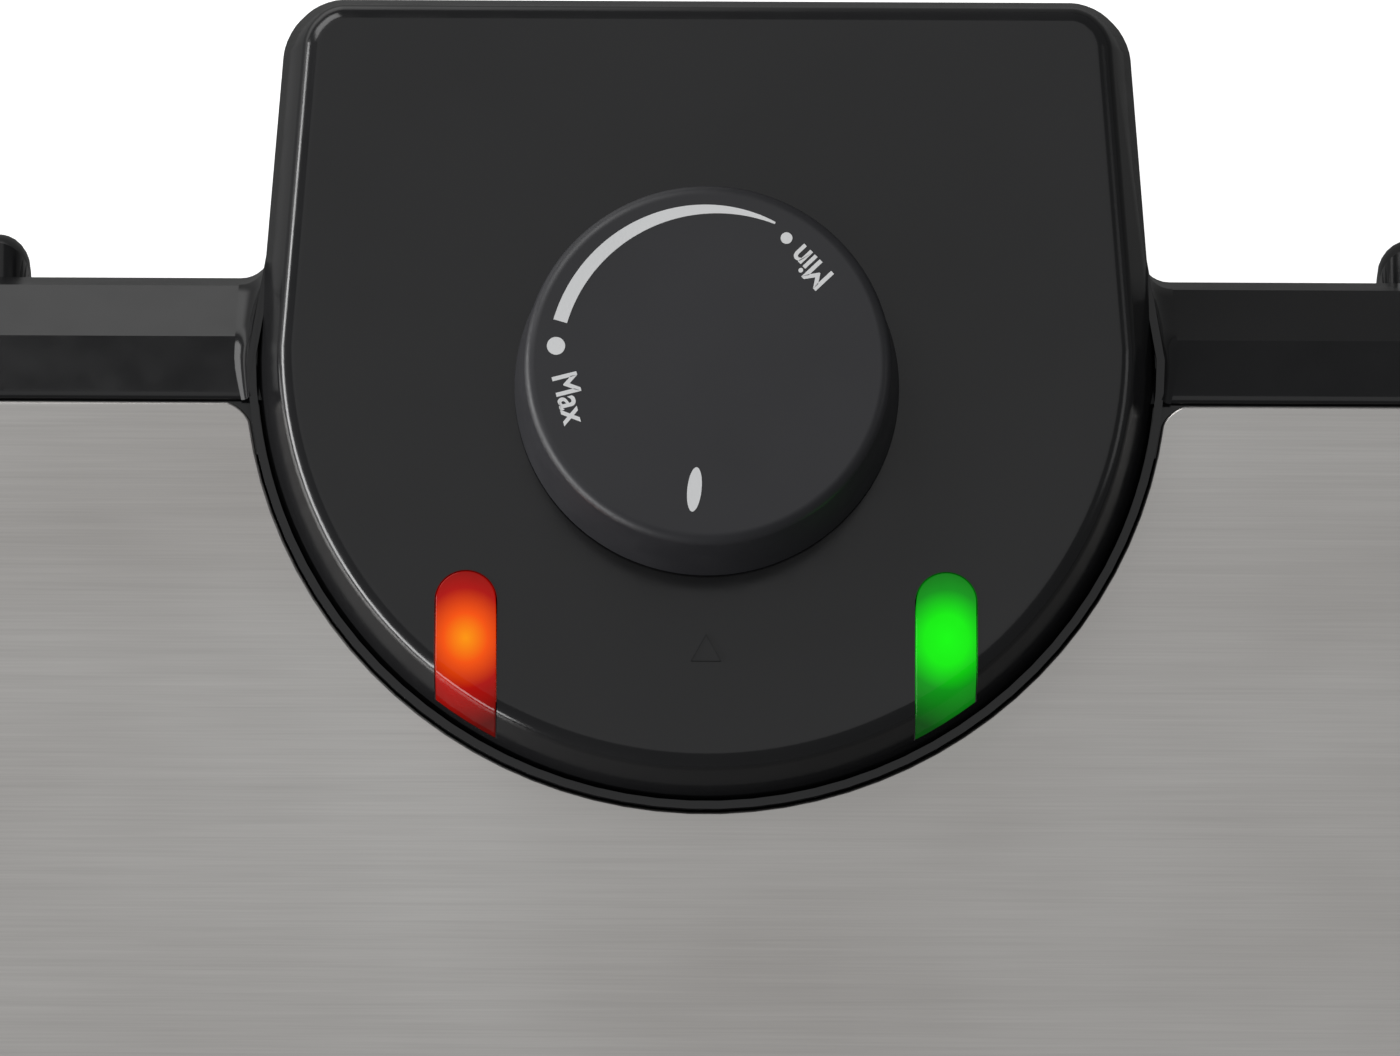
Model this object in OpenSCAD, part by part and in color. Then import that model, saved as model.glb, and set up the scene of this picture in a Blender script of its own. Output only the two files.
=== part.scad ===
// Waffle maker with a hinged lid, two grid plates, a rotary heat control
// and two signal lights in a housing that hangs over the rear of the lid.
// +X is right, -Y is the front where the handles are, +Z is up.
// The origin is the centre of the footprint box, on the table.

/* [Body] */
// Width of base and lid
body_w = 250; // [225:1:310]
// Depth of base and lid, front wall to rear wall
body_d = 215; // [200:1:270]
// Corner radius seen from above
corner_r = 34; // [30:1:46]
// Wall of the moulded shells
wall = 2.5; // [2:0.1:3]
// Height of the parting plane and of the hinge axis
part_z = 55; // [52:1:68]
// Gap between the closed rims
seam = 1; // [0.6:0.1:1.6]
// Height of the lid, rim to steel
lid_h = 35.5; // [34:0.5:44]
// Height of the rubber feet
foot_h = 6; // [4:0.5:9]
// Chamfer round the bottom of the base
base_chamfer = 6; // [3:0.5:8]

/* [Lid border] */
// Run of the upper facet, next to the steel
upper_run = 7.9; // [5:0.1:10]
// Drop of the upper facet
upper_drop = 2.9; // [1:0.1:4]
// Run of the lower facet
lower_run = 7.5; // [5:0.1:9]
// Drop of the lower facet
lower_drop = 7.5; // [4:0.1:9]
// Run of the steep skirt
skirt_run = 2.6; // [1:0.1:4]
// Drop of the steep skirt
skirt_drop = 7.5; // [4:0.1:9]
// Thickness of the steel cover
steel_t = 0.8; // [0.5:0.1:1.2]
// Width of the ledge that carries the steel cover
steel_ledge = 6; // [4:0.5:8]
// Radius of the steel cover's corners at the control housing
notch_r = 4; // [2:0.5:6]

/* [Control housing] */
// Radius of the front arc, outside the lip
arc_r = 50.8; // [44:0.4:58]
// Distance of the arc's centre behind the knob axis
arc_back = 4.8; // [0:0.4:8]
// Distance from knob axis to the rear foot of the housing
house_back = 47; // [43:0.5:56]
// How much each flank closes in towards the rear
flank_taper = 2.8; // [0:0.1:5]
// Size of the chamfer on the rear corners
rear_chamfer = 4.5; // [2:0.5:8]
// Rise of the control housing above the steel
house_rise = 7; // [5:0.5:10]
// Width of the frame's lip round the housing
lip = 1; // [0.8:0.1:2.5]
// Inset of the top face from the lip's outside
top_inset = 3.8; // [3:0.1:5]
// Wall of the control cover
cover_wall = 2.2; // [1.6:0.1:3]
// Height of the overhang's underside above the rim
floor_rise = 10.5; // [9:0.5:14]

/* [Knob] */
// Radius at the foot of the knob
knob_r = 21.2; // [16:0.1:24]
// Radius at the top of the knob
knob_top_r = 19.8; // [15:0.1:22.5]
// Height of the knob
knob_h = 12; // [8:0.5:18]
// Gap under the knob
knob_gap = 0.6; // [0.4:0.1:1.5]
// Radius of the thermostat spindle
spindle_r = 3; // [2.5:0.1:4]
// Running clearance on radius
run_gap = 0.05; // [0.02:0.01:0.1]

/* [Signal lights] */
// Width of each lens
lens_w = 6.6; // [5:0.1:9]
// Distance of each lens from the middle
lens_x = 26.4; // [24:0.1:32]
// Distance from knob axis to the rear end of each lens
lens_start = 20.7; // [18:0.1:25]
// How far a lens stands above the cover
lens_proud = 0.15; // [0.05:0.05:0.4]

/* [Waffle plates] */
// Distance from outer wall to plate flange
plate_margin = 12; // [10:0.5:15]
// Width of the plate's flange
flange_lap = 6.5; // [6:0.5:9]
// Thickness of the plate's flange
flange_t = 3; // [2.5:0.5:4]
// Depth of each half mould
tray_depth = 14; // [12:0.5:15]
// Thickness of the casting
plate_t = 3; // [2.5:0.5:4]
// Height of the pegs that make the pockets
peg_h = 10; // [7:0.5:11]
// Number of pockets across one waffle
pockets_x = 5; // [3:1:6]
// Number of pockets along one waffle
pockets_y = 8; // [5:1:9]
// Width of the waffle's own ribs
rib_w = 8; // [6:0.5:10]
// Width of the wall between the two waffles
divider_w = 5; // [4:0.5:8]

/* [Heating] */
// Radius of the tubular heating elements
element_r = 3.3; // [2.8:0.1:4]
// Width of the heating loop
loop_w = 140; // [120:1:150]
// Depth of the heating loop
loop_d = 104; // [90:1:110]
// Bend radius of the heating loop
loop_r = 25; // [18:1:32]
// Height of the reflector pans
pan_h = 10; // [9:0.5:11]
// Sheet thickness of the reflector pans
pan_t = 0.6; // [0.5:0.1:1]

/* [Hinge] */
// Distance of the hinge axis behind the rear wall
hinge_back = 2; // [1:0.5:5]
// Distance of each hinge from the middle
hinge_x = 91; // [82:1:96]
// Width of each hinge
hinge_w = 29; // [24:1:36]
// Width of the base knuckle
knuckle_w = 10; // [8:1:14]
// Outer radius of the knuckles
knuckle_r = 7; // [6:0.5:9]
// Radius of the hinge pin
pin_r = 2.5; // [2:0.1:3.5]
// Gap between knuckles and round them
knuckle_gap = 0.35; // [0.3:0.05:0.5]

/* [Handles and latch] */
// Reach of the lid handle in front of the body
handle_reach = 34; // [28:1:44]
// How much shorter the base handle is
handle_step = 6; // [4:1:10]
// Width of both handles
handle_w = 76; // [66:1:100]
// Height of the lid handle
lid_handle_h = 14; // [12:1:15]
// Height of the base handle
base_handle_h = 10; // [8:1:11]
// Gap for the fingers between the handles
grip_gap = 10; // [8:0.5:12]
// Radius of the latch wire
wire_r = 1.5; // [1.2:0.1:2]
// Distance from latch pivot to the latch's crossbar
latch_r = 32.4; // [30:0.1:40]
// Distance from the base handle's tip back to the latch pivot
latch_in = 4; // [3:0.5:7]

/* [Cord inlet] */
// Distance of the cord gland right of the middle
gland_x = 64; // [58:1:80]
// Height of the cord gland
gland_z = 23; // [21:0.5:27]
// Radius of the cord that the gland takes
cord_r = 3.6; // [3:0.1:4.5]

/* [Hidden] */
$fn = 72;

// Colours
black_plastic = [0.13, 0.13, 0.14];
knob_grey = [0.22, 0.22, 0.23];
steel_grey = [0.62, 0.61, 0.60];
coated_grey = [0.25, 0.25, 0.26];
zinc_grey = [0.7, 0.7, 0.72];
rubber_grey = [0.08, 0.08, 0.08];
ceramic_white = [0.9, 0.88, 0.82];
lamp_red = [0.85, 0.08, 0.03];
lamp_green = [0.05, 0.8, 0.1];
wire_red = [0.6, 0.1, 0.08];

// Places along Y
border = upper_run + lower_run + skirt_run;
overhang = house_back - border;
rear_y = (body_d + handle_reach - overhang) / 2;
front_y = rear_y - body_d;
mid_y = (rear_y + front_y) / 2;
knob_y = rear_y - border;
hinge_y = rear_y + hinge_back;

// Heights
base_top = part_z - seam / 2;
lid_low = part_z + seam / 2;
steel_z = lid_low + lid_h;
cover_top = steel_z + house_rise;
lip_z = steel_z + 0.7;
cover_foot = steel_z - 1;
floor_z = lid_low + floor_rise;
ledge_t = wall;
spigot_gap = 0.4;

// Plates
plate_w = body_w - 2 * plate_margin;
plate_d = body_d - 2 * plate_margin;
plate_r = corner_r - plate_margin;
tray_w = plate_w - 2 * flange_lap;
tray_d = plate_d - 2 * flange_lap;
tray_r = plate_r - flange_lap;
mould_w = tray_w - 2 * plate_t;
mould_d = tray_d - 2 * plate_t;
plate_back = tray_depth + plate_t;
ledge_in = flange_lap - 1;
tray_rear_y = mid_y + tray_d / 2 + 0.6;
lower_back_z = base_top - plate_back;
upper_back_z = lid_low + plate_back;

// Screws
screw_r = 1.5;
screw_hole_r = 1.8;
head_r = 3;
head_h = 1.8;
boss_r = 3.5;
boss_in = 14;
boss_y = body_d * 0.28;

// Heating loop and reflector pans, in the plates' own plane
loop_y = -12;
pan_w = loop_w + 28;
pan_d = loop_d + 24;
pan_r = loop_r + 6;
tail_x = 20;
clip_w = 12;
clip_l = 8;
plate_screw_x = pan_w / 2 + 8;
plate_screw_y = 26;

// Thermostat, in front of the rear wall on the knob's axis
stat_w = 30;
stat_d = 22;
stat_h = 9;
stat_z = upper_back_z + 4.5;
stat_bush_r = 5;
stat_bush_z = cover_top - cover_wall - 1.4;
stat_plate_t = 1;
bracket_front = 28;

// Lamps
lamp_r = 2.8;
lamp_y = 28;
lamp_plate_z = upper_back_z + pan_h + 2.5;
lamp_plate_t = 1;
lamp_post_x = 13;

// Handles and latch
base_reach = handle_reach - handle_step;
base_handle_z = part_z - 7 - base_handle_h;
lid_handle_z = base_handle_z + base_handle_h + grip_gap;
latch_y = front_y - base_reach + latch_in;
latch_z = base_handle_z + base_handle_h / 2;
pivot_bend = wire_r + 0.5;
latch_x = handle_w / 2 + pivot_bend + 0.3;
latch_bend = 3;
handle_r = 6;
handle_screw_x = handle_w / 2 - 14;

// Knuckles of the hinge, two on the lid round one on the base
lid_knuckle_w = (hinge_w - knuckle_w) / 2 - knuckle_gap;
lid_knuckle_x = knuckle_w / 2 + knuckle_gap + lid_knuckle_w / 2;

// Terminal block and wiring
block_y = rear_y - 28;
block_z = foot_h + wall;
loom_x = 62;
loom_y = rear_y - 7;
loom_r = 2.6;
loom_gap = 0.6;
loom_pass_z = floor_z + 5.5;
wire_gauge_r = 1.1;

// Knob's foot and spindle's end
knob_z = cover_top + knob_gap;
spindle_top = knob_z + knob_h - 3;

// Bottom cover and feet
bottom_in = base_chamfer + wall * 1.4 + 0.2;
foot_x = body_w / 2 - 30;
foot_y = body_d / 2 - 30;
foot_r = 8;

// ---------- shared shapes ----------

// Rectangle with true round corners, centred
module round_rect(w, d, r) {
  square([w - 2 * r, d], center = true);
  square([w, d - 2 * r], center = true);
  for (x = [-1, 1], y = [-1, 1])
    translate([x * (w / 2 - r), y * (d / 2 - r)])
      circle(r);
}

// Upright slab with round corners, over the middle of the body
module slab(w, d, r, z0, z1) {
  translate([0, mid_y, z0])
    linear_extrude(z1 - z0)
      round_rect(w, d, r);
}

// Carries a section round a rectangle with round corners.
// The section's x runs from the corner centre (0) to the outside (r).
module sweep_round(w, d, r) {
  for (k = [0:3]) {
    across = k % 2 == 0 ? w : d;
    along = k % 2 == 0 ? d : w;
    rotate(90 * k) {
      translate([across / 2 - r, 0, 0])
        rotate([90, 0, 0])
          linear_extrude(along - 2 * r, center = true)
            children();
      translate([across / 2 - r, along / 2 - r, 0])
        rotate_extrude(angle = 90)
          children();
    }
  }
}

// Cylinder along X, centred on x
module bar_x(r, length) {
  rotate([0, 90, 0])
    cylinder(h = length, r = r, center = true);
}

// Cylinder along Y, starting at y = 0
module bar_y(r, length) {
  rotate([-90, 0, 0])
    cylinder(h = length, r = r);
}

// Pan-head screw with its head at z = 0 and its shank up +Z
module screw(length) {
  translate([0, 0, -head_h])
    cylinder(h = head_h, r = head_r);
  cylinder(h = length, r = screw_r);
}

// Outline of the control housing, drawn in from its foot by inset.
// The knob axis is at 0, 0 and the rear is +Y.
function house_points(inset) =
  let (r = arc_r - inset, flank = arc_r - flank_taper - inset, back = house_back - inset)
  concat(
    [for (a = [180:4:360]) [r * cos(a), arc_back + r * sin(a)]],
    [[flank, back - rear_chamfer], [flank - rear_chamfer, back],
     [rear_chamfer - flank, back], [-flank, back - rear_chamfer]]);

module house_plan(inset) {
  translate([0, knob_y])
    polygon(house_points(inset));
}

// Solid between two outlines of the control housing
module house_block(z0, inset0, z1, inset1) {
  slice = 0.01;
  hull() {
    translate([0, 0, z0])
      linear_extrude(slice)
        house_plan(inset0);
    translate([0, 0, z1 - slice])
      linear_extrude(slice)
        house_plan(inset1);
  }
}

// Everything in front of (side -1) or behind (side 1) a plane across Y
module half_space(y, side) {
  size = 400;
  translate([-size / 2, side > 0 ? y : y - size, -size / 2])
    cube(size);
}

// Tube swept through a list of points. Each ring's side direction is carried on
// from the ring before, so the tube never twists.
function unit(v) = v / norm(v);
function heading(p, i) = unit(p[min(i + 1, len(p) - 1)] - p[max(min(i, len(p) - 1) - 1, 0)]);
function flatten_to(s, d) = unit(s - (s * d) * d);
function carried_sides(p) =
  [for (i = 0, s = flatten_to([0.36, 0.48, 0.8], heading(p, 0)); i < len(p);
        i = i + 1, s = flatten_to(s, heading(p, i))) s];
function ring_at(p, i, s, r, n) =
  let (t = cross(s, heading(p, i)))
  [for (k = [0:n - 1]) p[i] + r * (cos(360 * k / n) * s + sin(360 * k / n) * t)];

// Smooth curve through hand-placed points
function curve_point(p, i, t) =
  let (a = p[max(i - 1, 0)], b = p[i], c = p[i + 1], d = p[min(i + 2, len(p) - 1)])
  0.5 * (2 * b + (c - a) * t + (2 * a - 5 * b + 4 * c - d) * t * t
         + (3 * b - a - 3 * c + d) * t * t * t);
function smooth_route(p, steps) = concat(
  [for (i = [0:len(p) - 2], k = [0:steps - 1]) curve_point(p, i, k / steps)],
  [p[len(p) - 1]]);

module tube(route, r, n = 8) {
  p = smooth_route(route, 5);
  m = len(p);
  carried = carried_sides(p);
  rings = [for (i = [0:m - 1]) each ring_at(p, i, carried[i], r, n)];
  sides = [for (i = [0:m - 2], k = [0:n - 1])
    [i * n + k, (i + 1) * n + k, (i + 1) * n + (k + 1) % n, i * n + (k + 1) % n]];
  polyhedron(rings, concat(sides, [[for (k = [0:n - 1]) k]],
    [[for (k = [n - 1:-1:0]) (m - 1) * n + k]]), convexity = 4);
}

// ---------- base ----------

// Section of the base housing: wall, top deck and the ledge for the plate
module base_section() {
  r = corner_r;
  edge = r - plate_margin + spigot_gap;
  ledge = r - plate_margin - ledge_in;
  ledge_z = base_top - flange_t;
  polygon([
    [r - base_chamfer, foot_h],
    [r, foot_h + base_chamfer],
    [r, base_top],
    [edge, base_top],
    [edge, ledge_z],
    [ledge, ledge_z],
    [ledge, ledge_z - ledge_t],
    [r - wall, ledge_z - ledge_t],
    [r - wall, foot_h + base_chamfer + wall * 0.4],
    [r - base_chamfer - wall * 1.4, foot_h]]);
}

// Room that the lid's knuckles and webs need in the base, or the other way round
module knuckle_room(width, x) {
  translate([x, hinge_y, part_z])
    bar_x(knuckle_r + knuckle_gap, width);
}

module base_housing() {
  color(black_plastic)
    difference() {
      union() {
        translate([0, mid_y, 0])
          sweep_round(body_w, body_d, corner_r)
            base_section();
        for (s = [-1, 1]) {
          // hinge knuckle and its web down the rear wall
          translate([s * hinge_x, hinge_y, part_z])
            bar_x(knuckle_r, knuckle_w);
          translate([s * hinge_x - knuckle_w / 2, rear_y - 2 * wall, part_z - 3 * knuckle_r])
            cube([knuckle_w, 2 * wall + hinge_back + knuckle_r * 0.6, 2.6 * knuckle_r]);
          // bosses for the bottom cover
          for (t = [-1, 1])
            translate([s * (body_w / 2 - boss_in), mid_y + t * boss_y, foot_h + wall])
              cylinder(h = base_top - flange_t - ledge_t / 2 - foot_h - wall, r = boss_r);
        }
      }
      for (s = [-1, 1]) {
        for (t = [-1, 1]) {
          translate([s * (body_w / 2 - boss_in), mid_y + t * boss_y, foot_h])
            cylinder(h = 20, r = screw_r);
          knuckle_room(lid_knuckle_w + 2 * knuckle_gap, s * hinge_x + t * lid_knuckle_x);
        }
        translate([s * hinge_x, hinge_y, part_z])
          bar_x(pin_r, knuckle_w + 2);
        // handle screws
        translate([s * handle_screw_x, front_y - 1, latch_z])
          bar_y(screw_hole_r, wall + 2);
      }
      // cord gland
      translate([gland_x, rear_y - wall - 1, gland_z])
        bar_y(cord_r + 2.4, wall + 2);
      // wires to the lid
      translate([-loom_x, loom_y, base_top - flange_t - ledge_t - 1])
        cylinder(h = flange_t + ledge_t + 2, r = loom_r + loom_gap);
    }
}

module base_bottom() {
  slot_pitch = 9;
  slot_l = 34;
  slot_w = 3;
  color(black_plastic)
    difference() {
      slab(body_w - 2 * bottom_in, body_d - 2 * bottom_in, corner_r - bottom_in,
           foot_h, foot_h + wall);
      for (s = [-1, 1], t = [-1, 1]) {
        translate([s * (body_w / 2 - boss_in), mid_y + t * boss_y, 0])
          cylinder(h = 30, r = screw_hole_r);
        translate([s * foot_x, mid_y + t * foot_y, 0])
          cylinder(h = 30, r = foot_r / 2);
      }
      // vent slots
      for (k = [-4:4], t = [-1, 1])
        translate([k * slot_pitch - slot_w / 2, mid_y + t * 30 - slot_l / 2, 0])
          cube([slot_w, slot_l, 30]);
    }
}

module rubber_feet() {
  color(rubber_grey)
    for (s = [-1, 1], t = [-1, 1])
      translate([s * foot_x, mid_y + t * foot_y, 0]) {
        cylinder(h = foot_h / 2, r1 = foot_r - 1, r2 = foot_r);
        translate([0, 0, foot_h / 2])
          cylinder(h = foot_h / 2, r = foot_r);
        cylinder(h = foot_h + wall + 1.5, r = foot_r / 2);
      }
}

module bottom_screws() {
  color(zinc_grey)
    for (s = [-1, 1], t = [-1, 1])
      translate([s * (body_w / 2 - boss_in), mid_y + t * boss_y, foot_h])
        screw(16);
}

// ---------- waffle plates ----------

// One half mould. Its open face is at z = 0 and its back is up.
module waffle_plate() {
  field_w = (mould_w - divider_w) / 2;
  pitch_x = field_w / pockets_x;
  pitch_y = mould_d / pockets_y;
  peg_w = pitch_x - rib_w;
  peg_d = pitch_y - rib_w;
  difference() {
    union() {
      linear_extrude(flange_t)
        round_rect(plate_w, plate_d, plate_r);
      linear_extrude(plate_back)
        round_rect(tray_w, tray_d, tray_r);
    }
    translate([0, 0, -1])
      linear_extrude(tray_depth + 1)
        round_rect(mould_w, mould_d, tray_r - plate_t);
    plate_screw_places()
      translate([0, 0, tray_depth + 1])
        cylinder(h = plate_t, r = screw_r);
  }
  translate([-divider_w / 2, -mould_d / 2 - 0.5, 0.5])
    cube([divider_w, mould_d + 1, tray_depth]);
  for (s = [-1, 1], i = [0:pockets_x - 1], j = [0:pockets_y - 1])
    translate([s * (divider_w + field_w) / 2 + (i + 0.5) * pitch_x - field_w / 2 - peg_w / 2,
               (j + 0.5) * pitch_y - mould_d / 2 - peg_d / 2, tray_depth - peg_h])
      cube([peg_w, peg_d, peg_h + 0.5]);
}

module plate_screw_places() {
  for (s = [-1, 1], t = [-1, 1])
    translate([s * plate_screw_x, loop_y + t * plate_screw_y, 0])
      children();
}

// Screws that clamp a reflector's ears to the plate, heads up
module plate_screws() {
  plate_screw_places()
    translate([0, 0, plate_back + pan_t])
      mirror([0, 0, 1])
        screw(2 + pan_t);
}

// Tubular heater lying on the plate's back, with two tails at the rear
module heating_element() {
  color(steel_grey)
    translate([0, loop_y, plate_back + element_r]) {
      for (k = [0:3]) {
        across = k % 2 == 0 ? loop_w : loop_d;
        along = k % 2 == 0 ? loop_d : loop_w;
        rotate(90 * k) {
          if (k != 1)
            translate([across / 2, 0, 0])
              rotate([90, 0, 0])
                cylinder(h = along - 2 * loop_r, r = element_r, center = true);
          translate([across / 2 - loop_r, along / 2 - loop_r, 0])
            rotate_extrude(angle = 90)
              translate([loop_r, 0])
                circle(element_r);
        }
      }
      for (s = [-1, 1]) {
        tail = loop_w / 2 - loop_r - tail_x;
        translate([s * (tail_x + tail / 2), loop_d / 2, 0])
          bar_x(element_r, tail);
        translate([s * (tail_x - 4), loop_d / 2, 0])
          bar_x(element_r * 0.45, 8);
      }
    }
}

// Saddle clips that hold the heater down
module element_clips() {
  clip_h = 2 * element_r + 1.2;
  color(zinc_grey)
    for (s = [-1, 1], t = [-1, 0, 1])
      difference() {
        translate([s * loop_w / 2 - clip_w / 2, loop_y + t * 22 - clip_l / 2, plate_back])
          cube([clip_w, clip_l, clip_h]);
        translate([s * loop_w / 2, loop_y + t * 22, plate_back + element_r])
          rotate([90, 0, 0])
            cylinder(h = clip_l + 2, r = element_r, center = true);
        translate([s * loop_w / 2 - element_r, loop_y + t * 22 - clip_l, plate_back - 1])
          cube([2 * element_r, 2 * clip_l, 1 + element_r]);
      }
}

// Sheet pan over the heater, with two ears each side and a gap for the tails
module reflector_pan() {
  ear = 16;
  color(zinc_grey)
    difference() {
      union() {
        translate([0, loop_y, plate_back])
          linear_extrude(pan_h)
            round_rect(pan_w, pan_d, pan_r);
        plate_screw_places()
          translate([-ear / 2 - pan_t, -ear / 2, plate_back])
            cube([ear + 2 * pan_t, ear, pan_t]);
      }
      translate([0, loop_y, plate_back - 1])
        linear_extrude(pan_h + 1 - pan_t)
          round_rect(pan_w - 2 * pan_t, pan_d - 2 * pan_t, pan_r - pan_t);
      plate_screw_places()
        translate([0, 0, plate_back - 1])
          cylinder(h = 4, r = screw_hole_r);
      translate([-tail_x - 12, loop_y + pan_d / 2 - 4, plate_back - 1])
        cube([2 * tail_x + 24, 8, 2 * element_r + 3]);
    }
}

// Turns a plate piece over and puts it into the base
module in_base() {
  translate([0, mid_y, base_top])
    mirror([0, 0, 1])
      children();
}

// Puts a plate piece into the lid
module in_lid() {
  translate([0, mid_y, lid_low])
    children();
}

module lower_plate() {
  color(coated_grey) in_base() waffle_plate();
}
module lower_plate_screws() {
  color(zinc_grey) in_base() plate_screws();
}
module lower_element() {
  in_base() heating_element();
}
module lower_element_clips() {
  in_base() element_clips();
}
module lower_reflector() {
  in_base() reflector_pan();
}
module upper_plate() {
  color(coated_grey) in_lid() waffle_plate();
}
module upper_plate_screws() {
  color(zinc_grey) in_lid() plate_screws();
}
module upper_element() {
  in_lid() heating_element();
}
module upper_element_clips() {
  in_lid() element_clips();
}
module upper_reflector() {
  in_lid() reflector_pan();
}

// ---------- handles, latch and hinge pins ----------

// Grip seen from the side: flat where it meets the body, round at the tip
module handle_shape(reach, z0, h, tip_r) {
  for (s = [-1, 1])
    translate([s * (handle_w / 2 - handle_r), 0, 0])
      intersection() {
        translate([0, front_y - reach + handle_r, z0])
          cylinder(h = h, r = handle_r);
        grip_bar(reach, z0, h, tip_r);
      }
  intersection() {
    translate([-handle_w / 2 + handle_r, front_y - reach, z0])
      cube([handle_w - 2 * handle_r, reach, h]);
    grip_bar(reach, z0, h, tip_r);
  }
  intersection() {
    translate([-handle_w / 2, front_y - reach + handle_r, z0])
      cube([handle_w, reach - handle_r, h]);
    grip_bar(reach, z0, h, tip_r);
  }
}

module grip_bar(reach, z0, h, tip_r) {
  rotate([90, 0, 90])
    linear_extrude(handle_w + 20, center = true) {
      translate([front_y - reach + tip_r, z0])
        square([reach - tip_r, h]);
      translate([front_y - reach, z0 + tip_r])
        square([reach, h - 2 * tip_r]);
      for (z = [z0 + tip_r, z0 + h - tip_r])
        translate([front_y - reach + tip_r, z])
          circle(tip_r);
    }
}

module base_handle() {
  color(black_plastic)
    difference() {
      handle_shape(base_reach, base_handle_z, base_handle_h, 3);
      for (s = [-1, 1]) {
        translate([s * handle_screw_x, front_y - 12, latch_z])
          bar_y(screw_r, 14);
        translate([s * handle_w / 2, latch_y, latch_z])
          bar_x(wire_r + run_gap, 18);
      }
    }
}

module base_handle_screws() {
  color(zinc_grey)
    for (s = [-1, 1])
      translate([s * handle_screw_x, front_y + wall, latch_z])
        rotate([90, 0, 0])
          screw(12);
}

module lid_handle() {
  color(black_plastic)
    difference() {
      handle_shape(handle_reach, lid_handle_z, lid_handle_h, handle_r);
      for (s = [-1, 1])
        translate([s * handle_screw_x, front_y - 12, lid_handle_z + lid_handle_h / 2])
          bar_y(screw_r, 14);
    }
}

module lid_handle_screws() {
  color(zinc_grey)
    for (s = [-1, 1])
      translate([s * handle_screw_x, front_y + wall, lid_handle_z + lid_handle_h / 2])
        rotate([90, 0, 0])
          screw(12);
}

// Wire loop that hangs from the base handle and swings up over the lid handle
module latch_bail() {
  end_l = 7;
  color(steel_grey)
    translate([0, latch_y, latch_z]) {
      translate([0, 0, -latch_r])
        bar_x(wire_r, 2 * (latch_x - latch_bend));
      for (s = [-1, 1]) {
        translate([s * latch_x, 0, -latch_r + latch_bend])
          cylinder(h = latch_r - latch_bend - pivot_bend, r = wire_r);
        translate([s * (latch_x - latch_bend), 0, -latch_r + latch_bend])
          rotate([90, 0, 0])
            rotate(s > 0 ? 270 : 180)
              rotate_extrude(angle = 90)
                translate([latch_bend, 0])
                  circle(wire_r);
        translate([s * (latch_x - pivot_bend), 0, -pivot_bend])
          rotate([90, 0, 0])
            rotate(s > 0 ? 0 : 90)
              rotate_extrude(angle = 90)
                translate([pivot_bend, 0])
                  circle(wire_r);
        translate([s * (latch_x - pivot_bend - end_l / 2), 0, 0])
          bar_x(wire_r, end_l);
      }
    }
}

module hinge_pins() {
  color(steel_grey)
    for (s = [-1, 1])
      translate([s * hinge_x, hinge_y, part_z])
        bar_x(pin_r, hinge_w - 1);
}

// ---------- mains inlet and wiring ----------

module cord_gland() {
  color(rubber_grey)
    difference() {
      union() {
        translate([gland_x, rear_y, gland_z])
          bar_y(cord_r + 4.4, 2.5);
        translate([gland_x, rear_y - wall - 5, gland_z])
          bar_y(cord_r + 2.4, wall + 6);
        translate([gland_x, rear_y, gland_z])
          rotate([-90, 0, 0])
            cylinder(h = 8, r1 = cord_r + 2.4, r2 = cord_r + 1.4);
      }
      translate([gland_x, rear_y - wall - 6, gland_z])
        bar_y(cord_r, 26);
    }
}

module gland_nut() {
  color(black_plastic)
    translate([gland_x, rear_y - wall - 3.5, gland_z])
      rotate([-90, 0, 0])
        difference() {
          cylinder(h = 3.5, r = cord_r + 5.5, $fn = 6);
          translate([0, 0, -1])
            cylinder(h = 6, r = cord_r + 2.4);
        }
}

module terminal_block() {
  color(ceramic_white)
    difference() {
      translate([gland_x - 36, block_y - 8, block_z])
        cube([44, 14, 12]);
      for (k = [0:2])
        translate([gland_x - 28 + 14 * k, block_y - 1, block_z + 4])
          cylinder(h = 9, r = 2.6);
      for (k = [0:2])
        translate([gland_x - 28 + 14 * k, block_y - 9, block_z + 6])
          bar_y(1.7, 3);
    }
}

// Leads from the terminal block to the lower heater's tails, and the loom to the lid
module base_wires() {
  tail_y = mid_y + loop_y + loop_d / 2;
  tail_z = lower_back_z - element_r;
  end_y = tail_y + element_r * 0.45 + wire_gauge_r;
  from_y = block_y - 8;
  from_z = block_z + 6;
  loom_low = block_z + loom_r + 0.6;
  color(wire_red) {
    tube([[gland_x - 28, from_y, from_z], [gland_x - 28, from_y - 2, from_z],
          [gland_x - 28, from_y - 4, from_z],
          [26, from_y - 12, from_z + 8], [17, tail_y + 16, tail_z - 4],
          [14, tail_y + 9, tail_z], [14, end_y, tail_z]],
         wire_gauge_r);
    tube([[gland_x - 14, from_y, from_z], [gland_x - 14, from_y - 2, from_z],
          [gland_x - 14, from_y - 4, from_z],
          [10, from_y - 11, from_z + 5], [-8, tail_y + 18, tail_z - 6],
          [-14, tail_y + 9, tail_z], [-14, end_y, tail_z]],
         wire_gauge_r);
    tube([[gland_x, from_y, from_z], [gland_x, from_y - 3, from_z],
          [gland_x, from_y - 6, from_z],
          [gland_x - 18, from_y - 18, loom_low], [10, from_y - 19, loom_low],
          [-30, from_y - 10, loom_low], [-loom_x + 10, loom_y - 18, loom_low + 2],
          [-loom_x + 1, loom_y - 3, loom_low + 10], [-loom_x, loom_y, loom_low + 20],
          [-loom_x, loom_y, base_top - 10], [-loom_x, loom_y, base_top]],
         loom_r);
  }
}

// ---------- lid ----------

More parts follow.
